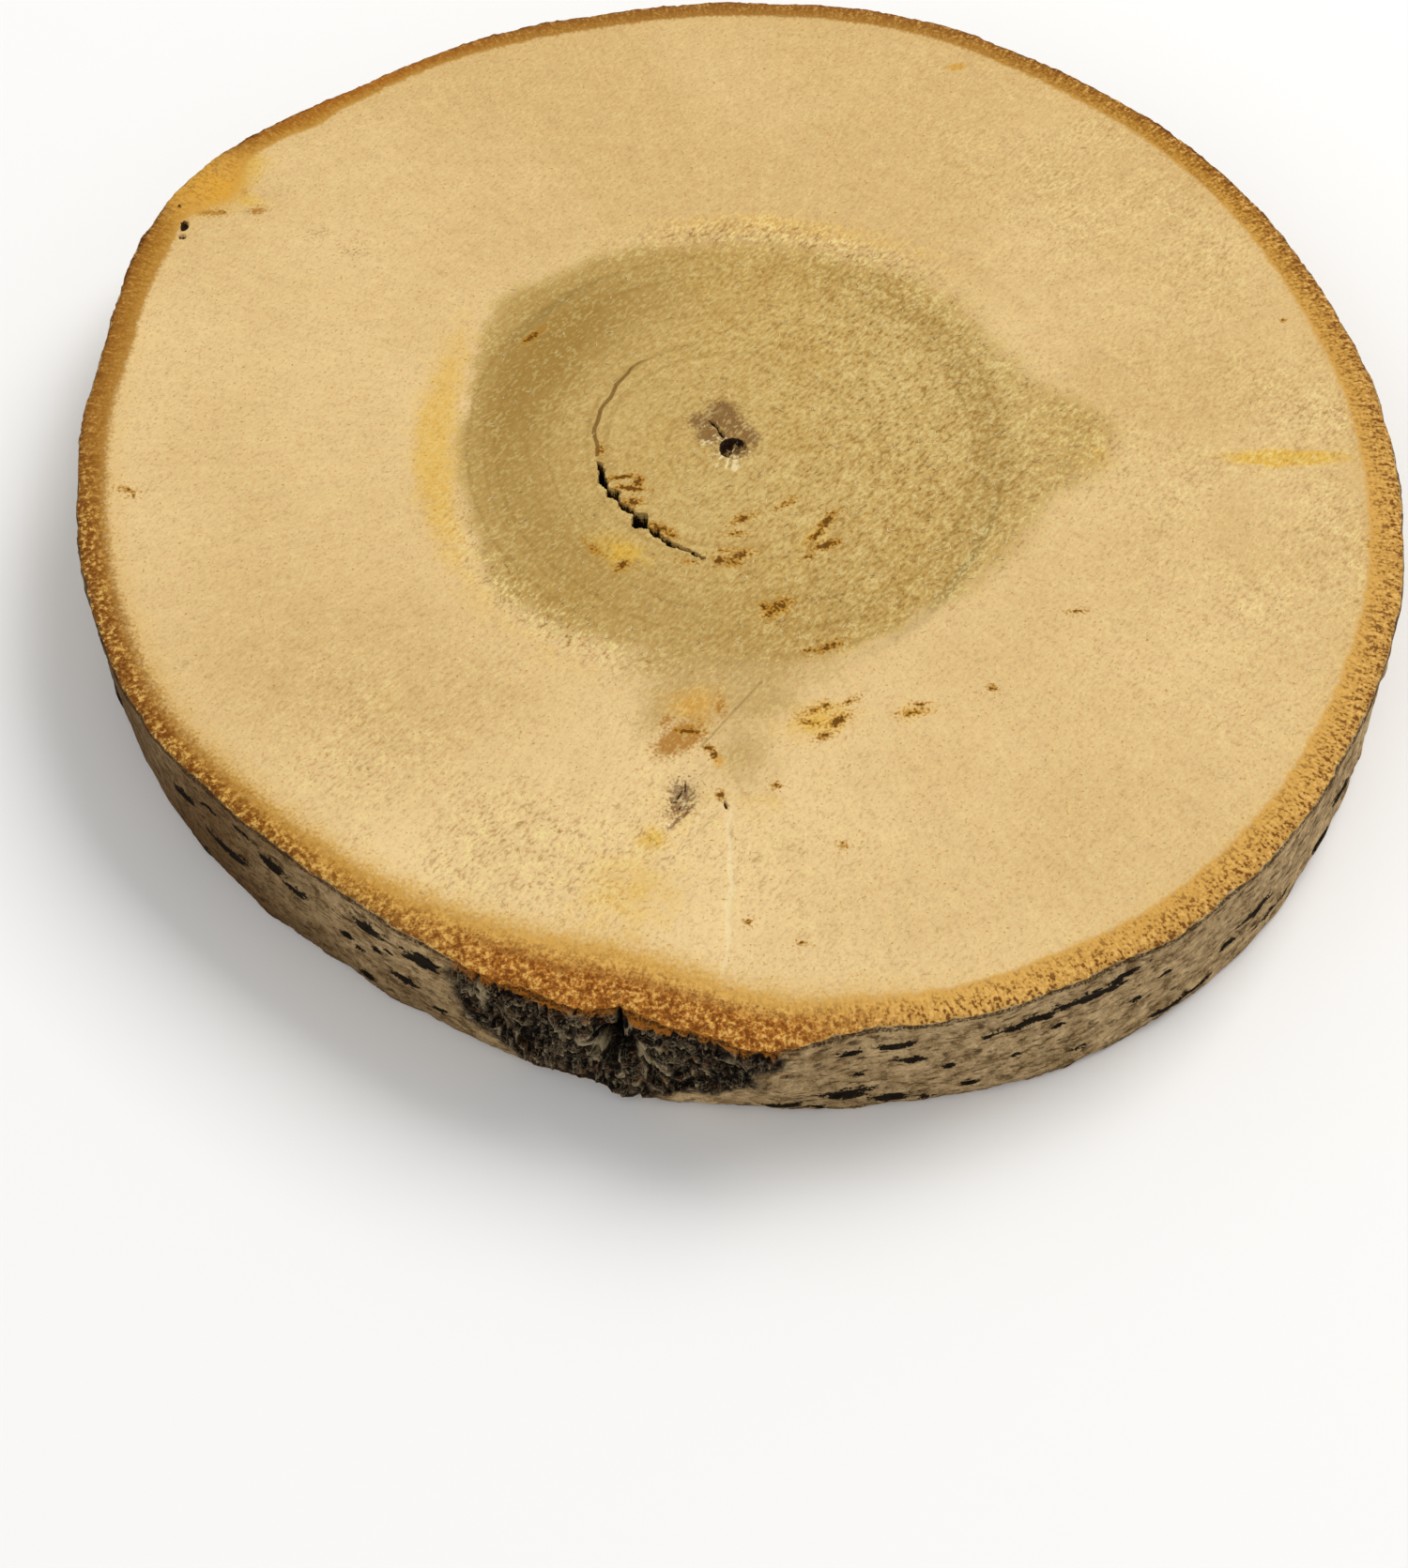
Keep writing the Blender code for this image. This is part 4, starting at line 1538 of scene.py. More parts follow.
    def bark_layers(self, graph: Graph, below: Socket, point: Socket, outward: Socket, crumb: Socket,
                    clump: Socket) -> Socket:
        """Lay the cut bark over the wood: smooth amber inside, brown crumbs outside, a dark skin line.

        Args:
            graph: the material.
            below: the wood's colour.
            point: the place in millimetres.
            outward: the direction from the axis.
            crumb: noise as fine as a crumb.
            clump: noise as wide as a clump of fur.

        Returns:
            The new colour.
        """
        add = graph.add
        bark, rim, warm, seeping, umber, deep, resin, here, gritty = (
            add("Attribute", attribute_name=name, out="Fac")
            for name in ("bark", "rim", "warm", "seep", "umber", "deep", "resin", "grainy", "gritty"))
        round_place = add("VectorMath", {0: outward, "Scale": MEAN_RADIUS / self.bark_fibre}, "SCALE")
        inwards = add("Math", {0: rim, 1: 1.3}, "MULTIPLY")
        fibre_place = add("VectorMath", {0: round_place, 1: add("CombineXYZ", {"Z": inwards})}, "ADD")
        fibre = add("TexNoise", {"Vector": fibre_place, "Scale": 1.0, "Detail": 2.0, "Roughness": 0.6})

        # 0 at the skin and 1 at the wood, moved about by the fibres
        width = add("Math", {0: rim, 1: bark}, "ADD")
        share = add("Math", {0: rim, 1: width}, "DIVIDE", use_clamp=True)
        loose = add("Math", {0: fibre, 1: 0.36, 2: share}, "MULTIPLY_ADD")
        loose = add("Math", {0: loose, 1: 0.18}, "SUBTRACT")
        tone = add("ValToRGB", {"Fac": loose},
                   ramp=((0.06, self.bark_line), (0.16, self.bark_outer), (0.55, self.bark_middle),
                         (1.0, self.bark_inner)))
        tone = add("MixRGB", {0: umber, 1: tone, 2: self.umber})
        warmth = add("Math", {0: warm, 1: 0.7}, "MULTIPLY")
        tone = add("MixRGB", {0: warmth, 1: tone, 2: self.bark_warm})
        outside = add("MapRange", {"Value": loose, "From Min": 0.78, "From Max": 0.50})
        deep = add("Math", {0: deep, 1: outside}, "MULTIPLY")
        tone = add("MixRGB", {0: deep, 1: tone, 2: self.bark_deep})
        resin = add("Math", {0: resin, 1: add("Math", {0: clump, 1: 1.6}, "MULTIPLY")},
                    "MULTIPLY", use_clamp=True)
        tone = add("MixRGB", {0: resin, 1: tone, 2: self.resin})

        # Crumbs: dark and light grains, strongest in the outer half
        grainy = add("MapRange", {"Value": share, "From Min": 0.35, "From Max": 1.0,
                                  "To Min": 1.0, "To Max": 0.35})
        grainy = add("Math", {0: grainy, 1: here}, "MULTIPLY")
        mixed = add("Math", {0: fibre, 1: crumb}, "ADD")
        tone = graph.lay(tone, self.bark_dark, mixed, (0.97, 0.85), 0.9, grainy)
        tone = graph.lay(tone, self.bark_light, mixed, (1.08, 1.20), 0.8, grainy)

        # Larger torn grit above the scar and to its left
        grit = add("TexNoise", {"Vector": point, "Scale": 1.0 / self.grit, "Detail": 3.0, "Roughness": 0.7})
        outside = add("MapRange", {"Value": share, "From Min": 0.45, "From Max": 0.85,
                                   "To Min": 1.0, "To Max": 0.3})
        gritty = add("Math", {0: gritty, 1: outside}, "MULTIPLY")
        tone = graph.lay(tone, self.grit_dark, grit, (0.49, 0.42), 0.95, gritty)
        tone = graph.lay(tone, self.grit_light, grit, (0.55, 0.61), 0.75, gritty)

        # Orange that seeped from the bark into the wood
        torn = add("Math", {0: clump, 1: 2.6, 2: bark}, "MULTIPLY_ADD")
        torn = add("Math", {0: crumb, 1: 2.2, 2: torn}, "MULTIPLY_ADD")
        reach = add("MapRange", {"Value": torn, "From Min": -0.2, "From Max": 2.8})
        reach = add("Math", {0: reach, 1: 1.8}, "POWER")
        soaked = add("Math", {0: reach, 1: seeping}, "MULTIPLY", use_clamp=True)
        below = add("MixRGB", {0: soaked, 1: below, 2: self.seep})

        # The line between wood and bark is crisp and jagged, and soft where the orange seeped
        edge = add("Math", {0: fibre, 1: 0.9, 2: bark}, "MULTIPLY_ADD")
        edge = add("Math", {0: clump, 1: 0.6, 2: edge}, "MULTIPLY_ADD")
        broken = add("Math", {0: add("Math", {0: crumb, 1: 0.5}, "SUBTRACT"), 1: seeping}, "MULTIPLY")
        edge = add("Math", {0: broken, 1: 3.0, 2: edge}, "MULTIPLY_ADD")
        start = add("Math", {0: seeping, 1: -0.9, 2: 0.62}, "MULTIPLY_ADD")
        finish = add("Math", {0: seeping, 1: 0.9, 2: 0.86}, "MULTIPLY_ADD")
        colour = graph.lay(below, tone, edge, (start, finish), soft=True)
        return self.paint(graph, colour, self.grit_dark, "seam", grit, (0.45, 0.75), 0.85, 1.8)


@dataclass(frozen=True)
class SkinFinish:
    """Smooth grey bark with corky dark lenticels, and the blackened old bark of the scar."""

    axis: tuple[float, float, float]
    grey: str = "#D8BA8A"
    grey_low: str = "#A08256"
    # Brown: the bark's own lower band, and painted shade down the left side
    brown: str = "#583E20"
    lenticel: str = "#0F0A06"
    fringe: str = "#C59A58"
    # Dark brown for freckles and crease lines, and for the line along the base edge, which is partly painted
    # contact shadow
    under: str = "#3A2612"
    scar: str = "#0F0A07"
    # Near-black painted shade for the scar's hole
    hole_shade: str = "#030201"
    # Grey plate tops and pale curled edges are partly painted highlight
    lit_scar_plate: str = "#6C5D48"
    scar_warm: str = "#6B4322"
    scar_pale_and_highlight: str = "#C2AE88"
    scar_amber: str = "#A5641C"
    mottle: float = 1.3
    wrinkle: float = 0.35
    freckle: float = 0.42
    crease: float = 0.7
    dust: float = 0.22
    swirl: float = 0.9
    relief: float = 0.2
    roughness: float = 0.82

    def make(self) -> bpy.types.Material:
        """Build the material.

        Returns:
            The material, for the bark's outer skin.
        """
        # Dry cork doesn't shine: lenticels read as dark dashes, the scar as a dull black crust
        graph = Graph("smooth bark skin")
        add = graph.add
        point = graph.point(self.axis)
        mottle = add("TexNoise", {"Vector": point, "Scale": 1.0 / self.mottle, "Detail": 4.0,
                                  "Roughness": 0.65})
        stretched = add("VectorMath", {0: point, 1: (0.22, 0.22, 1.0)}, "MULTIPLY")
        wrinkle = add("TexNoise", {"Vector": stretched, "Scale": 1.0 / self.wrinkle, "Detail": 2.0})
        fine = add("TexNoise", {"Vector": point, "Scale": 1.0 / self.dust, "Detail": 2.0, "Roughness": 0.7})

        tone = add("MapRange", {"Value": mottle, "From Min": 0.32, "From Max": 0.68})
        colour = add("MixRGB", {0: tone, 1: self.grey, 2: self.grey_low})
        # Brown over the grey: the bark's own brown lower band, and painted shade down the left side, away from
        # the key light
        brown = add("Attribute", attribute_name="brown", out="Fac")
        colour = add("MixRGB", {0: brown, 1: colour, 2: self.brown})
        streak = add("MapRange", {"Value": wrinkle, "From Min": 0.3, "From Max": 0.72,
                                  "To Min": 1.12, "To Max": 0.84})
        dusty = add("MapRange", {"Value": fine, "From Min": 0.3, "From Max": 0.7,
                                 "To Min": 0.78, "To Max": 1.22})
        level = add("Math", {0: streak, 1: dusty}, "MULTIPLY")
        colour = graph.shade(colour, level)

        flattened = add("VectorMath", {0: point, 1: (0.4, 0.4, 1.0)}, "MULTIPLY")
        freckled = add("TexNoise", {"Vector": flattened, "Scale": 1.0 / self.freckle, "Detail": 2.0})
        colour = graph.lay(colour, self.under, freckled, (0.56, 0.65), 0.65)

        # Creases: the edges of small bent cells, only in patches
        wander = add("CombineXYZ", {"X": mottle, "Y": fine, "Z": wrinkle})
        bent = add("VectorMath", {0: flattened, 1: wander}, "ADD")
        cell = add("TexVoronoi", {"Vector": bent, "Scale": 1.0 / self.crease}, feature="DISTANCE_TO_EDGE")
        patch = add("MapRange", {"Value": mottle, "From Min": 0.42, "From Max": 0.58})
        colour = graph.lay(colour, self.under, cell, (0.15, 0.03), 0.6, patch)

        spot = add("Attribute", attribute_name="lenticel", out="Fac")
        frayed = add("Math", {0: fine, 1: 1.1, 2: spot}, "MULTIPLY_ADD")
        frayed = add("Math", {0: freckled, 1: 1.3, 2: frayed}, "MULTIPLY_ADD")
        colour = graph.lay(colour, self.lenticel, frayed, (1.52, 1.68), 0.97, soft=True)

        colour = self.scar_layers(graph, colour, point, mottle, fine, wrinkle)
        # Dark line along the base edge, partly painted contact shadow and partly the saw's darkened edge; a
        # thin dark line below the top edge; and a pale frayed rim
        for name, tint, start, end, amount in (
                ("under", self.under, 0.74, 0.92, 0.9), ("fringe", self.fringe, 0.98, 1.12, 0.75)):
            edge = add("Attribute", attribute_name=name, out="Fac")
            edge = add("Math", {0: edge, 1: 0.55, 2: fine}, "MULTIPLY_ADD")
            colour = graph.lay(colour, tint, edge, (start, end), amount)

        height = add("Math", {0: wrinkle, 1: 0.5, 2: fine}, "MULTIPLY_ADD")
        height = add("Math", {0: mottle, 1: 0.8, 2: height}, "MULTIPLY_ADD")
        bump = add("Bump", {"Height": height, "Strength": 0.7, "Distance": self.relief * MM})
        graph.join(graph.shader, {"Base Color": colour, "Roughness": self.roughness, "Normal": bump,
                                  "Specular IOR Level": 0.05})
        return graph.material

    def scar_layers(self, graph: Graph, below: Socket, point: Socket, mottle: Socket, fine: Socket,
                    wrinkle: Socket) -> Socket:
        """Blackened plates of old bark: grey on their tops, partly painted highlight; pale curled edges,
        painted highlight, and pale torn lips; black between them; near-black painted shade in the hole.

        Args:
            graph: the material.
            below: the skin's colour.
            point: the place in millimetres.
            mottle: noise in wide patches.
            fine: noise as fine as dust.
            wrinkle: noise in lines round the slice.

        Returns:
            The new colour.
        """
        add = graph.add
        scar, plate, amber, lips, hole_shade = (add("Attribute", attribute_name=name, out="Fac")
                                    for name in ("scar", "plate", "amber", "lips", "hole_shade"))
        # Grey on the plates' tops: partly weathered bark, partly painted highlight
        top = add("Math", {0: fine, 1: 1.2, 2: plate}, "MULTIPLY_ADD")
        top = add("Math", {0: mottle, 1: 2.4, 2: top}, "MULTIPLY_ADD")
        tone = graph.lay(self.scar, self.lit_scar_plate, top, (2.30, 3.05), 0.75)
        tone = graph.lay(tone, self.scar_warm, wrinkle, (0.56, 0.72), 0.6, plate)
        # Pale lines along the curled flakes and their lips: painted highlight
        swirl = add("TexNoise", {"Vector": point, "Scale": 1.0 / self.swirl, "Detail": 2.0, "Distortion": 1.6})
        off_middle = add("Math", {0: add("Math", {0: swirl, 1: 0.5}, "SUBTRACT")}, "ABSOLUTE")
        curl = add("MapRange", {"Value": off_middle, "From Min": 0.04, "From Max": 0.01, "To Max": 0.35})
        lip = add("MapRange", {"Value": plate, "From Min": 0.80, "From Max": 0.97, "To Max": 1.5})
        curl = add("Math", {0: curl, 1: plate}, "MULTIPLY", use_clamp=True)
        curl = add("Math", {0: lip, 1: add("Math", {0: mottle, 1: fine}, "MULTIPLY"), 2: curl},
                   "MULTIPLY_ADD", use_clamp=True)
        tone = add("MixRGB", {0: curl, 1: tone, 2: self.scar_pale_and_highlight})
        amber = add("Math", {0: mottle, 1: 2.0, 2: amber}, "MULTIPLY_ADD")
        amber = add("Math", {0: fine, 1: 1.4, 2: amber}, "MULTIPLY_ADD")
        tone = graph.lay(tone, self.scar_amber, amber, (2.0, 2.4), 0.9)
        # Pale torn lips, and near-black painted shade in the hole and the split
        for cover, tint in ((lips, self.scar_pale_and_highlight), (hole_shade, self.hole_shade)):
            tone = add("MixRGB", {0: cover, 1: tone, 2: tint})
        return add("MixRGB", {0: scar, 1: below, 2: tone})


@dataclass
class Timber:
    """The wood inside the bark: two sawn faces, closed round their edge under the bark."""

    form: SliceForm
    drawing: SawnWood
    top_steps: int = 250
    base_steps: int = 110
    refine_cuts: int = 3
    name: str = "timber"

    def add_sheet(self, side: Side, steps: int) -> Item:
        """Add a square grid and press it into the round of one sawn face.

        Args:
            side: which face.
            steps: faces along each edge of the grid.

        Returns:
            The flat sheet.
        """
        deselect_all()
        bpy.ops.mesh.primitive_grid_add(x_subdivisions=steps, y_subdivisions=steps, size=2.0)
        sheet = bpy.context.object
        sheet.name = f"{self.name} {side.name}"
        places = places_of(sheet)
        u, v = places[:, 0], places[:, 1]
        wide = np.abs(u) >= np.abs(v)
        share = np.where(wide, u, v)
        with np.errstate(divide="ignore", invalid="ignore"):
            turn = np.nan_to_num(np.where(wide, 45.0 * v / u, 90.0 - 45.0 * u / v))
        angles = turn + np.where(share < 0.0, 180.0, 0.0)
        heights = np.full(len(u), self.form.thickness if side is Side.TOP else 0.0)
        at = Places.around(angles, np.abs(share) * self.form.cambium(angles, heights))
        move_to(sheet, self.form.to_metres(at, heights))
        if side is Side.BASE:
            with editing():
                bpy.ops.mesh.select_all(action="SELECT")
                bpy.ops.mesh.flip_normals()
        return sheet

    def refine(self, sheet: Item) -> None:
        """Cut the faces near the crack, pith, knots and marks into smaller ones.

        Args:
            sheet: the flat sheet of the top.
        """
        middles = read_rows(sheet.data.polygons, "center")
        from_axis = (middles[:, :2] - np.array(self.form.axis[:2])) / MM
        select_only(sheet, "polygons", self.drawing.fine_detail(Places(*from_axis.T)))
        activate(sheet)
        with editing("FACE"):
            bpy.ops.mesh.subdivide(number_cuts=self.refine_cuts)

    def close(self, top: Item, base: Item) -> Item:
        """Join the two sheets and bridge their edges with the wall under the bark.

        Args:
            top: the sheet of the top.
            base: the sheet of the base.

        Returns:
            The closed mesh object.
        """
        activate(top, base)
        bpy.ops.object.join()
        with editing("EDGE"):
            bpy.ops.mesh.select_all(action="DESELECT")
            bpy.ops.mesh.select_non_manifold()
            bpy.ops.mesh.bridge_edge_loops()
            bpy.ops.mesh.select_all(action="SELECT")
            bpy.ops.mesh.normals_make_consistent(inside=False)
        top.name = self.name
        top.data.name = self.name
        return top

    def build(self) -> Item:
        """Model the timber.

        Returns:
            The finished mesh object, with its fields stored.
        """
        top = self.add_sheet(Side.TOP, self.top_steps)
        self.refine(top)
        timber = self.close(top, self.add_sheet(Side.BASE, self.base_steps))
        places = places_of(timber)
        at = Places((places[:, 0] - self.form.axis.x) / MM, (places[:, 1] - self.form.axis.y) / MM)
        upper = places[:, 2] > 0.5 * self.form.thickness * MM
        heights = np.where(upper, self.form.thickness, 0.0)
        at_edge = at.radii > self.form.cambium(at.angles, heights) - 0.02
        dents = np.where(upper, self.drawing.dent(Side.TOP, at), self.drawing.dent(Side.BASE, at))
        dents = np.where(at_edge, 0.03, dents)
        move_to(timber, self.form.to_metres(at, np.where(upper, heights - dents, dents)))
        timber.data.shade_smooth()
        timber.data.set_sharp_from_angle(angle=math.radians(SHARP_ANGLE))
        self.drawing.store(timber, upper, at)
        CutBark(self.form).store(timber, at.angles, at.radii, heights)
        return timber


@dataclass
class CutBark:
    """The colours of the cut bark on a sawn face, by their place round the slice."""

    form: SliceForm
    warm: tuple[Lobe, ...] = (
        Lobe(-95, 45, 1), Lobe(-60, 50, 0.6), Lobe(147.8, 8, 0.8), Lobe(-15, 60, 0.8),
    )
    resin: tuple[Lobe, ...] = (Lobe(147.8, 7, 1), Lobe(-137, 26, 0.15))
    deep: tuple[Lobe, ...] = (Lobe(-98, 25, 1.5), Lobe(128, 20, 0.6))
    deepest: float = 0.85
    umber: tuple[Lobe, ...] = (Lobe(90, 60, 0.6), Lobe(178, 34, 0.4), Lobe(-148, 34, 0.7))
    grainy: tuple[Lobe, ...] = (Lobe(-45, 130, 0.75), Lobe(40, 70, 0.25))
    least_grainy: float = 0.35
    seep: tuple[Lobe, ...] = (
        Lobe(-125, 45, 0.9), Lobe(-93, 24, 0.9), Lobe(-165, 40, 0.35), Lobe(148, 8, 0.75),
    )
    least_seep: float = 0.15
    gritty: tuple[Lobe, ...] = (Lobe(-100, 28, 1.5), Lobe(-150, 44, 1.5))
    most_gritty: float = 0.9
    seam_width: float = 0.8

    def store(self, item: Item, angles: Array, radii: Array, heights: Array) -> None:
        """Keep on a sawn face the fields that place the cut bark's colours.

        Args:
            item: the mesh object.
            angles: degrees round the slice, for each vertex.
            radii: distances from the axis.
            heights: height of the face that each vertex belongs to.
        """
        rim = self.form.rim(angles, radii, heights)
        deep = np.minimum(lobe_sum(self.deep, angles), self.deepest)
        grainy = np.clip(self.least_grainy + lobe_sum(self.grainy, angles), 0.0, 1.0)
        points = Places.around(angles, radii).raised(heights)
        # The torn seam above the scar, which ends at both sides of it
        across = rim - (2.6 + 0.6 * smooth_step(-108.0, -90.0, angles)) + 0.4 * lump_noise(points, 2.2, 2)
        inside = smooth_step(-117.0, -112.0, angles) * (1.0 - smooth_step(-92.0, -82.0, angles))
        keep_fields(item, {
            "rim": np.maximum(rim, 0.0), "bark": self.form.width(angles) - rim,
            "warm": np.clip(lobe_sum(self.warm, angles), 0.0, 1.0), "resin": lobe_sum(self.resin, angles),
            "deep": deep, "umber": lobe_sum(self.umber, angles), "grainy": grainy * (1.0 - 0.45 * deep),
            "seep": np.clip(lobe_sum(self.seep, angles) + self.least_seep, 0.0, 1.0),
            "gritty": np.minimum(lobe_sum(self.gritty, angles), self.most_gritty),
            "seam": 0.5 * inside * np.exp(-(across / self.seam_width) ** 2),
        })


@dataclass
class Bark:
    """The bark ring: its skin, its two cut faces, and the hidden wall against the wood."""

    form: SliceForm
    look: BarkLook
    drawing: SawnWood
    turn_steps: int = 1350
    skin_rows: int = 42
    cut_rows: int = 13
    base_rows: int = 7
    wall_rows: int = 3
    merge_distance: float = 1e-5
    # Brown of the skin: painted shade down the left side, and the bark's own brown in front and at the split
    brown_and_shade_lobes: tuple[Lobe, ...] = (
        Lobe(-150, 42, 0.95), Lobe(-122, 30, 0.5), Lobe(-85, 9, 0.15),
    )
    name: str = "bark"

    def add_section(self) -> Item:
        """Add the ring's square section, from 1 to 2 along X and 0 to 1 up.

        Returns:
            A loop of edges without a face.
        """
        deselect_all()
        bpy.ops.mesh.primitive_plane_add(size=1.0, location=(1.5, 0.0, 0.5), rotation=(math.pi / 2, 0.0, 0.0))
        section = bpy.context.object
        bpy.ops.object.transform_apply(location=True, rotation=True, scale=True)
        rows_by_side = (
            ((2.0, None), self.skin_rows), ((None, 1.0), self.cut_rows),
            ((None, 0.0), self.base_rows), ((1.0, None), self.wall_rows),
        )
        for (x, z), rows in rows_by_side:
            self.select_side(section, x, z)
            with editing("EDGE"):
                bpy.ops.mesh.subdivide(number_cuts=rows - 1)
        with editing():
            bpy.ops.mesh.select_all(action="SELECT")
            bpy.ops.mesh.delete(type="ONLY_FACE")
        return section

    @staticmethod
    def select_side(section: Item, x: float | None, z: float | None) -> None:
        """Select the section's edges that lie at one X or one height.

        Args:
            section: the square.
            x: where they lie across, or None.
            z: where they lie upwards, or None.
        """
        near = 1e-4
        flags = []
        for edge in section.data.edges:
            ends = [section.data.vertices[index].co for index in edge.vertices]
            flags.append(all((x is None or abs(end.x - x) < near) and (z is None or abs(end.z - z) < near)
                             for end in ends))
        select_only(section, "edges", np.array(flags))

    def turn_section(self, section: Item) -> None:
        """Turn the section once round into a closed ring.

        Args:
            section: the loop of edges.
        """
        activate(section)
        bpy.ops.object.modifier_add(type="SCREW")
        screw = section.modifiers[-1]
        screw.steps = self.turn_steps
        screw.render_steps = self.turn_steps
        screw.use_merge_vertices = True
        screw.merge_threshold = self.merge_distance
        bpy.ops.object.modifier_apply(modifier=screw.name)
        with editing():
            bpy.ops.mesh.select_all(action="SELECT")
            bpy.ops.mesh.remove_doubles(threshold=self.merge_distance)
            bpy.ops.mesh.normals_make_consistent(inside=False)

    def build(self) -> Item:
        """Model the bark.

        Returns:
            The finished mesh object, with its fields stored.
        """
        bark = self.add_section()
        self.turn_section(bark)
        bark.name = self.name
        bark.data.name = self.name
        places = places_of(bark)
        raw = Places(places[:, 0], places[:, 1])
        angles = raw.angles
        depth = np.clip(2.0 - raw.radii, 0.0, 1.0)
        share = np.clip(places[:, 2], 0.0, 1.0)
        heights = share * self.form.thickness
        skin = self.form.skin(angles, heights) + self.look.relief(angles, heights)
        skin -= self.look.wear(angles, heights)
        radii = skin + (self.form.cambium(angles, heights) - skin) * depth
        at = Places.around(angles, radii)
        worn = self.cut_wear(at, depth, share)
        lift = np.where(share > 0.999, -worn, np.where(share < 0.001, worn, 0.0))
        move_to(bark, self.form.to_metres(at, heights + lift))
        bark.data.shade_smooth()
        bark.data.set_sharp_from_angle(angle=math.radians(SHARP_ANGLE))
        upper = heights > 0.5 * self.form.thickness
        self.drawing.store(bark, upper, at)
        CutBark(self.form).store(bark, angles, radii, np.where(upper, self.form.thickness, 0.0))
        self.store_skin(bark, angles, heights)
        self.assign(bark, share)
        return bark

    def cut_wear(self, at: Places, depth: Array, share: Array) -> Array:
        """How far the saw tore the cut bark below the sawn face.

        Args:
            at: where each vertex is.
            depth: 0 at the skin and 1 at the wood.
            share: 0 at the base and 1 at the top.

        Returns:
            Depths in millimetres.
        """
        points = at.raised(share * 40.0)
        grain = 0.05 * (1.0 + lump_noise(points, 0.5, 2))
        edge = (1.0 - smooth_step(0.0, 0.22, depth)) * (0.08 + 0.22 * np.abs(lump_noise(points, 1.4, 2)))
        worn = 0.03 + (grain + edge) * (1.0 - smooth_step(0.85, 1.0, depth))
        return np.maximum(worn, 0.0)

    def store_skin(self, bark: Item, angles: Array, heights: Array) -> None:
        """Keep every field that the skin's material reads.

        Args:
            bark: the mesh object.
            angles: degrees round the slice, for each vertex.
            heights: millimetres above the base.
        """
        place = self.look.lenticel_places(angles, heights)
        scar = self.look.scar(angles, heights)
        inside = scar > SCAR_EDGE
        char, lips = np.zeros(len(angles)), np.zeros(len(angles))
        char[inside] = self.look.char(angles[inside], heights[inside])
        lips[inside] = self.look.torn_lips(angles[inside], heights[inside])
        cloud = 0.5 + 0.5 * lump_noise(self.look.skin_points(angles, heights), 11.0, 2)
        low = 1.0 - smooth_step(0.0, 0.75 * self.form.thickness, heights)
        # The left lobe is painted shade; the front lobe, the cloud and the split are the bark's own brown
        left, front, split = (lobe.at(angles) for lobe in self.brown_and_shade_lobes)
        brown = left * (0.7 + 0.1 * low) + (front * (0.3 + 0.5 * low) + 0.3 * cloud + split)
        from_top = self.form.thickness - heights
        keep_fields(bark, {
            "lenticel": np.exp(-math.log(2.0) * place ** 2) * (1.0 - scar), "scar": scar,
            "amber": np.exp(-(from_top / 1.25) ** 2),
            # The hole and the split above it get near-black painted shade; each flake's rise sets painted
            # highlight on its top
            "hole_shade": smooth_step(0.25, 0.6, self.look.hole(angles, heights)),
            "plate": char, "lips": 0.85 * lips, "brown": np.clip(brown, 0.0, 1.0),
            "fringe": np.exp(-(from_top / 0.28) ** 2),
            # Darker along the base edge, partly painted contact shadow, and in a thin line below the top edge
            "under": 0.85 * np.exp(-(heights / 0.7) ** 2) + 0.8 * np.exp(-((from_top - 0.4) / 0.35) ** 2),
        })

    def assign(self, bark: Item, share: Array) -> None:
        """Give the sawn faces the first material and the skin the second.

        Args:
            bark: the mesh object.
            share: 0 at the base and 1 at the top, for each vertex.
        """
        corners = np.zeros(len(bark.data.polygons) * 4, np.int32)
        bark.data.polygons.foreach_get("vertices", corners)
        of_face = share[corners.reshape(-1, 4)]
        cut = (of_face > 0.999).all(axis=1) | (of_face < 0.001).all(axis=1)
        bark.data.polygons.foreach_set("material_index", np.where(cut, 0, 1).astype(np.int32))


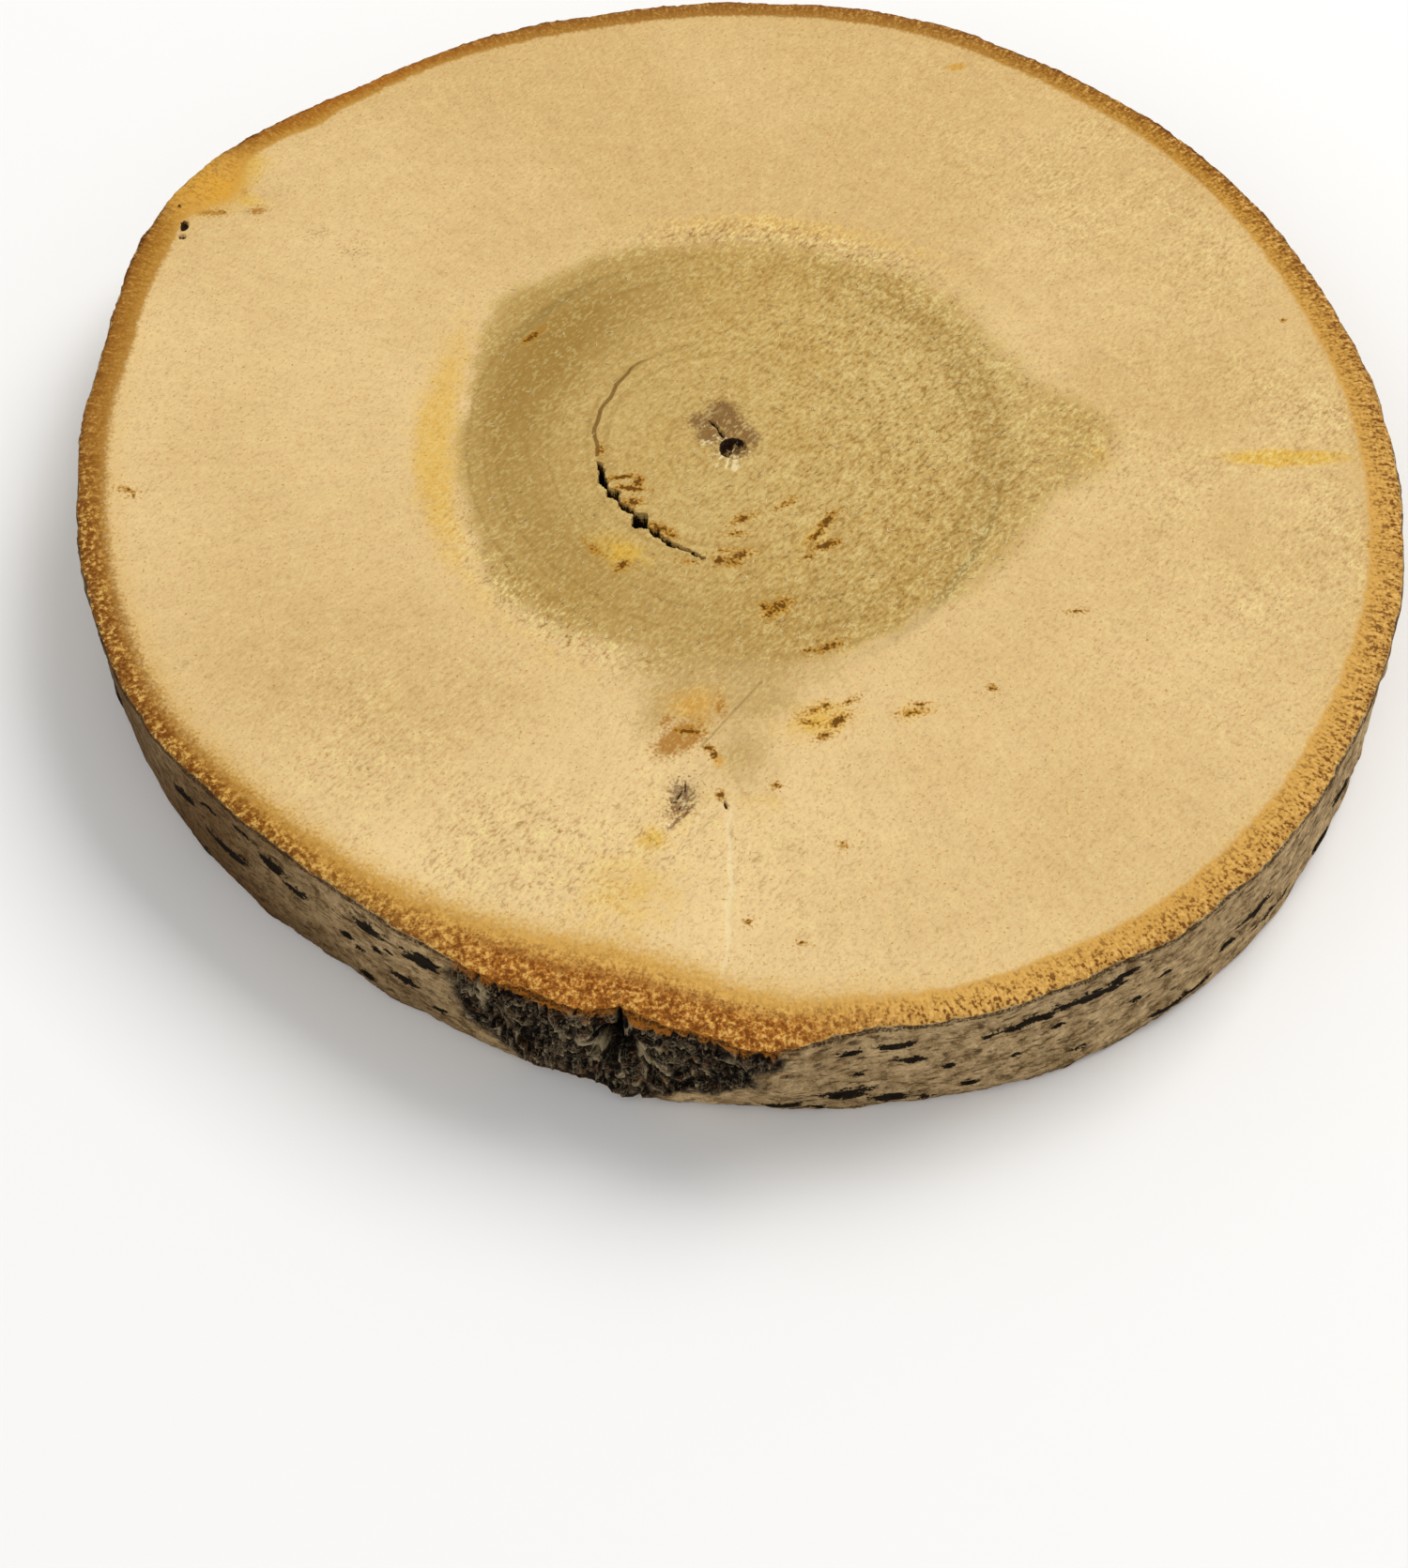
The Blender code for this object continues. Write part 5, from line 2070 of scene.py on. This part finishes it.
@dataclass
class TornFibres:
    """Loose splinters that the saw raised on the rougher parts of the sawn top."""

    form: SliceForm
    drawing: SawnWood
    count: int = 1600
    tries: int = 24000
    reach: float = 58.0
    seed: int = 11
    length: tuple[float, float] = (0.3, 0.9)
    half_width: float = 0.06
    rise: float = 0.16
    sunk: float = 0.05
    # Paleness of the slivers: partly the torn fibres' own paler colour, partly painted highlight
    paleness_and_highlight: float = 0.55
    name: str = "torn_fibres"

    def model_sliver(self) -> tuple[Array, list[tuple[int, ...]]]:
        """Model one pointed sliver, one unit long along X.

        Returns:
            Its vertex places and its faces.
        """
        deselect_all()
        bpy.ops.mesh.primitive_cone_add(vertices=4, radius1=1.0, radius2=0.0, depth=1.0,
                                        location=(0.5, 0.0, 0.0), rotation=(0.0, math.pi / 2, 0.0))
        sliver = bpy.context.object
        bpy.ops.object.transform_apply(location=True, rotation=True, scale=True)
        places = places_of(sliver)
        faces = [tuple(face.vertices) for face in sliver.data.polygons]
        bpy.data.objects.remove(sliver)
        return places, faces

    def spots(self, dice: np.random.Generator) -> Array:
        """Draw places for the slivers, kept with a chance that follows the wood's roughness.

        Args:
            dice: the seeded draw.

        Returns:
            The places, as rows of X and Y.
        """
        at = Places(*dice.uniform(-self.reach, self.reach, (2, self.tries)))
        limit = self.form.cambium(at.angles, np.full(len(at.x), self.form.thickness))
        kept = (at.radii < limit - 0.3) & (self.drawing.shake.distance(at) > 0.3)
        kept &= dice.random(len(at.x)) < self.drawing.roughness(at) ** 2
        return np.stack([at.x, at.y], axis=1)[kept][:self.count]

    def build(self) -> Item:
        """Copy the sliver over the sawn top, more of them where it is rough.

        Returns:
            The finished mesh object.
        """
        places, faces = self.model_sliver()
        dice = np.random.default_rng(self.seed)
        verts, polygons = [], []
        for x, y in self.spots(dice):
            turn = dice.normal(math.radians(SAW_TURN), 0.7)
            length = dice.uniform(*self.length)
            lift = dice.uniform(0.0, self.rise)
            along = np.array((math.cos(turn), math.sin(turn), lift / length))
            side = np.array((-math.sin(turn), math.cos(turn), 0.0))
            up = np.array((0.0, 0.0, 0.5))
            start = np.array((x, y, self.form.thickness - self.sunk))
            base = len(verts)
            verts.extend(start + places[:, :1] * length * along
                         + self.half_width * (places[:, 1:2] * side + places[:, 2:] * up))
            polygons.extend(tuple(base + index for index in face) for face in faces)
        verts = np.array(verts)
        mesh = bpy.data.meshes.new(self.name)
        at = Places(*verts.T[:2])
        mesh.from_pydata(self.form.to_metres(at, verts[:, 2]).tolist(), [], polygons)
        item = bpy.data.objects.new(self.name, mesh)
        bpy.context.scene.collection.objects.link(item)
        self.drawing.store(item, np.ones(len(verts), bool), at)
        # Slivers painted pale: partly their own colour, partly painted highlight
        pale = np.full(len(verts), self.paleness_and_highlight, np.float32)
        mesh.attributes[Ink.PALE.value].data.foreach_set("value", pale)
        CutBark(self.form).store(item, at.angles, at.radii, np.full(len(verts), self.form.thickness))
        return item


@dataclass(frozen=True)
class Studio:
    """A plain pale floor under soft light that comes mostly from the upper right."""

    floor_colour: str = "#F7F6F4"
    floor_size: float = 8.0
    sky: float = 0.50
    key_power: float = 17.0
    key_size: float = 0.9
    key_place: tuple[float, float, float] = (0.75, 0.75, 1.15)
    fill_power: float = 5.0
    fill_size: float = 1.4
    fill_place: tuple[float, float, float] = (-0.9, -0.9, 1.1)

    def add_light(self, name: str, power: float, size: float, place: tuple[float, float, float]) -> None:
        """Add a square soft light aimed at the slice.

        Args:
            name: the light's name.
            power: watts.
            size: width in metres.
            place: metres from the slice.
        """
        data = bpy.data.lights.new(name, "AREA")
        data.energy = power
        data.size = size
        light = bpy.data.objects.new(name, data)
        light.location = place
        light.rotation_euler = (-Vector(place)).to_track_quat("-Z", "Y").to_euler()
        bpy.context.scene.collection.objects.link(light)

    def build(self) -> None:
        """Add the floor, the sky's light and the two lamps."""
        deselect_all()
        bpy.ops.mesh.primitive_plane_add(size=self.floor_size, location=(0.0, 0.0, -0.02 * MM))
        floor = bpy.context.object
        floor.name = "floor"
        # Matt paper gives an even, pale ground that mirrors nothing
        graph = Graph("matt white paper")
        graph.join(graph.shader, {"Base Color": self.floor_colour, "Roughness": 0.95,
                                  "Specular IOR Level": 0.1})
        floor.data.materials.append(graph.material)
        world = bpy.data.worlds.new("studio")
        world.use_nodes = True
        sky = world.node_tree.nodes["Background"]
        sky.inputs["Color"].default_value = linear("#FFFFFF")
        sky.inputs["Strength"].default_value = self.sky
        bpy.context.scene.world = world
        bpy.context.scene.view_settings.view_transform = "Standard"
        self.add_light("key", self.key_power, self.key_size, self.key_place)
        self.add_light("fill", self.fill_power, self.fill_size, self.fill_place)


def dress(item: Item, *materials: bpy.types.Material) -> None:
    """Give a piece its materials, attach it to the body and hide the frame's own part of the slice.

    Args:
        item: the finished piece.
        materials: its materials, in slot order.
    """
    for material in materials:
        item.data.materials.append(material)
    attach(item, BODY)
    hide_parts(NODE)
    log.info("%s has %d faces", item.name, len(item.data.polygons))


def main() -> None:
    """Build the slice's pieces in order, then the studio and the camera."""
    form = SliceForm()
    log.info("axis %s, thickness %.2f mm", tuple(form.axis), form.thickness)
    camera = PhotoCamera()
    drawing = SawnWood(form, camera)
    axis = tuple(form.axis)
    sawn = SawnFinish(axis).make()
    skin = SkinFinish(axis).make()
    dress(Timber(form, drawing).build(), sawn)
    dress(Bark(form, BarkLook(form), drawing).build(), sawn, skin)
    dress(TornFibres(form, drawing).build(), sawn)
    Studio().build()
    camera.add(form.axis)


if __name__ == "__main__":
    logging.basicConfig(level=logging.INFO)
    main()
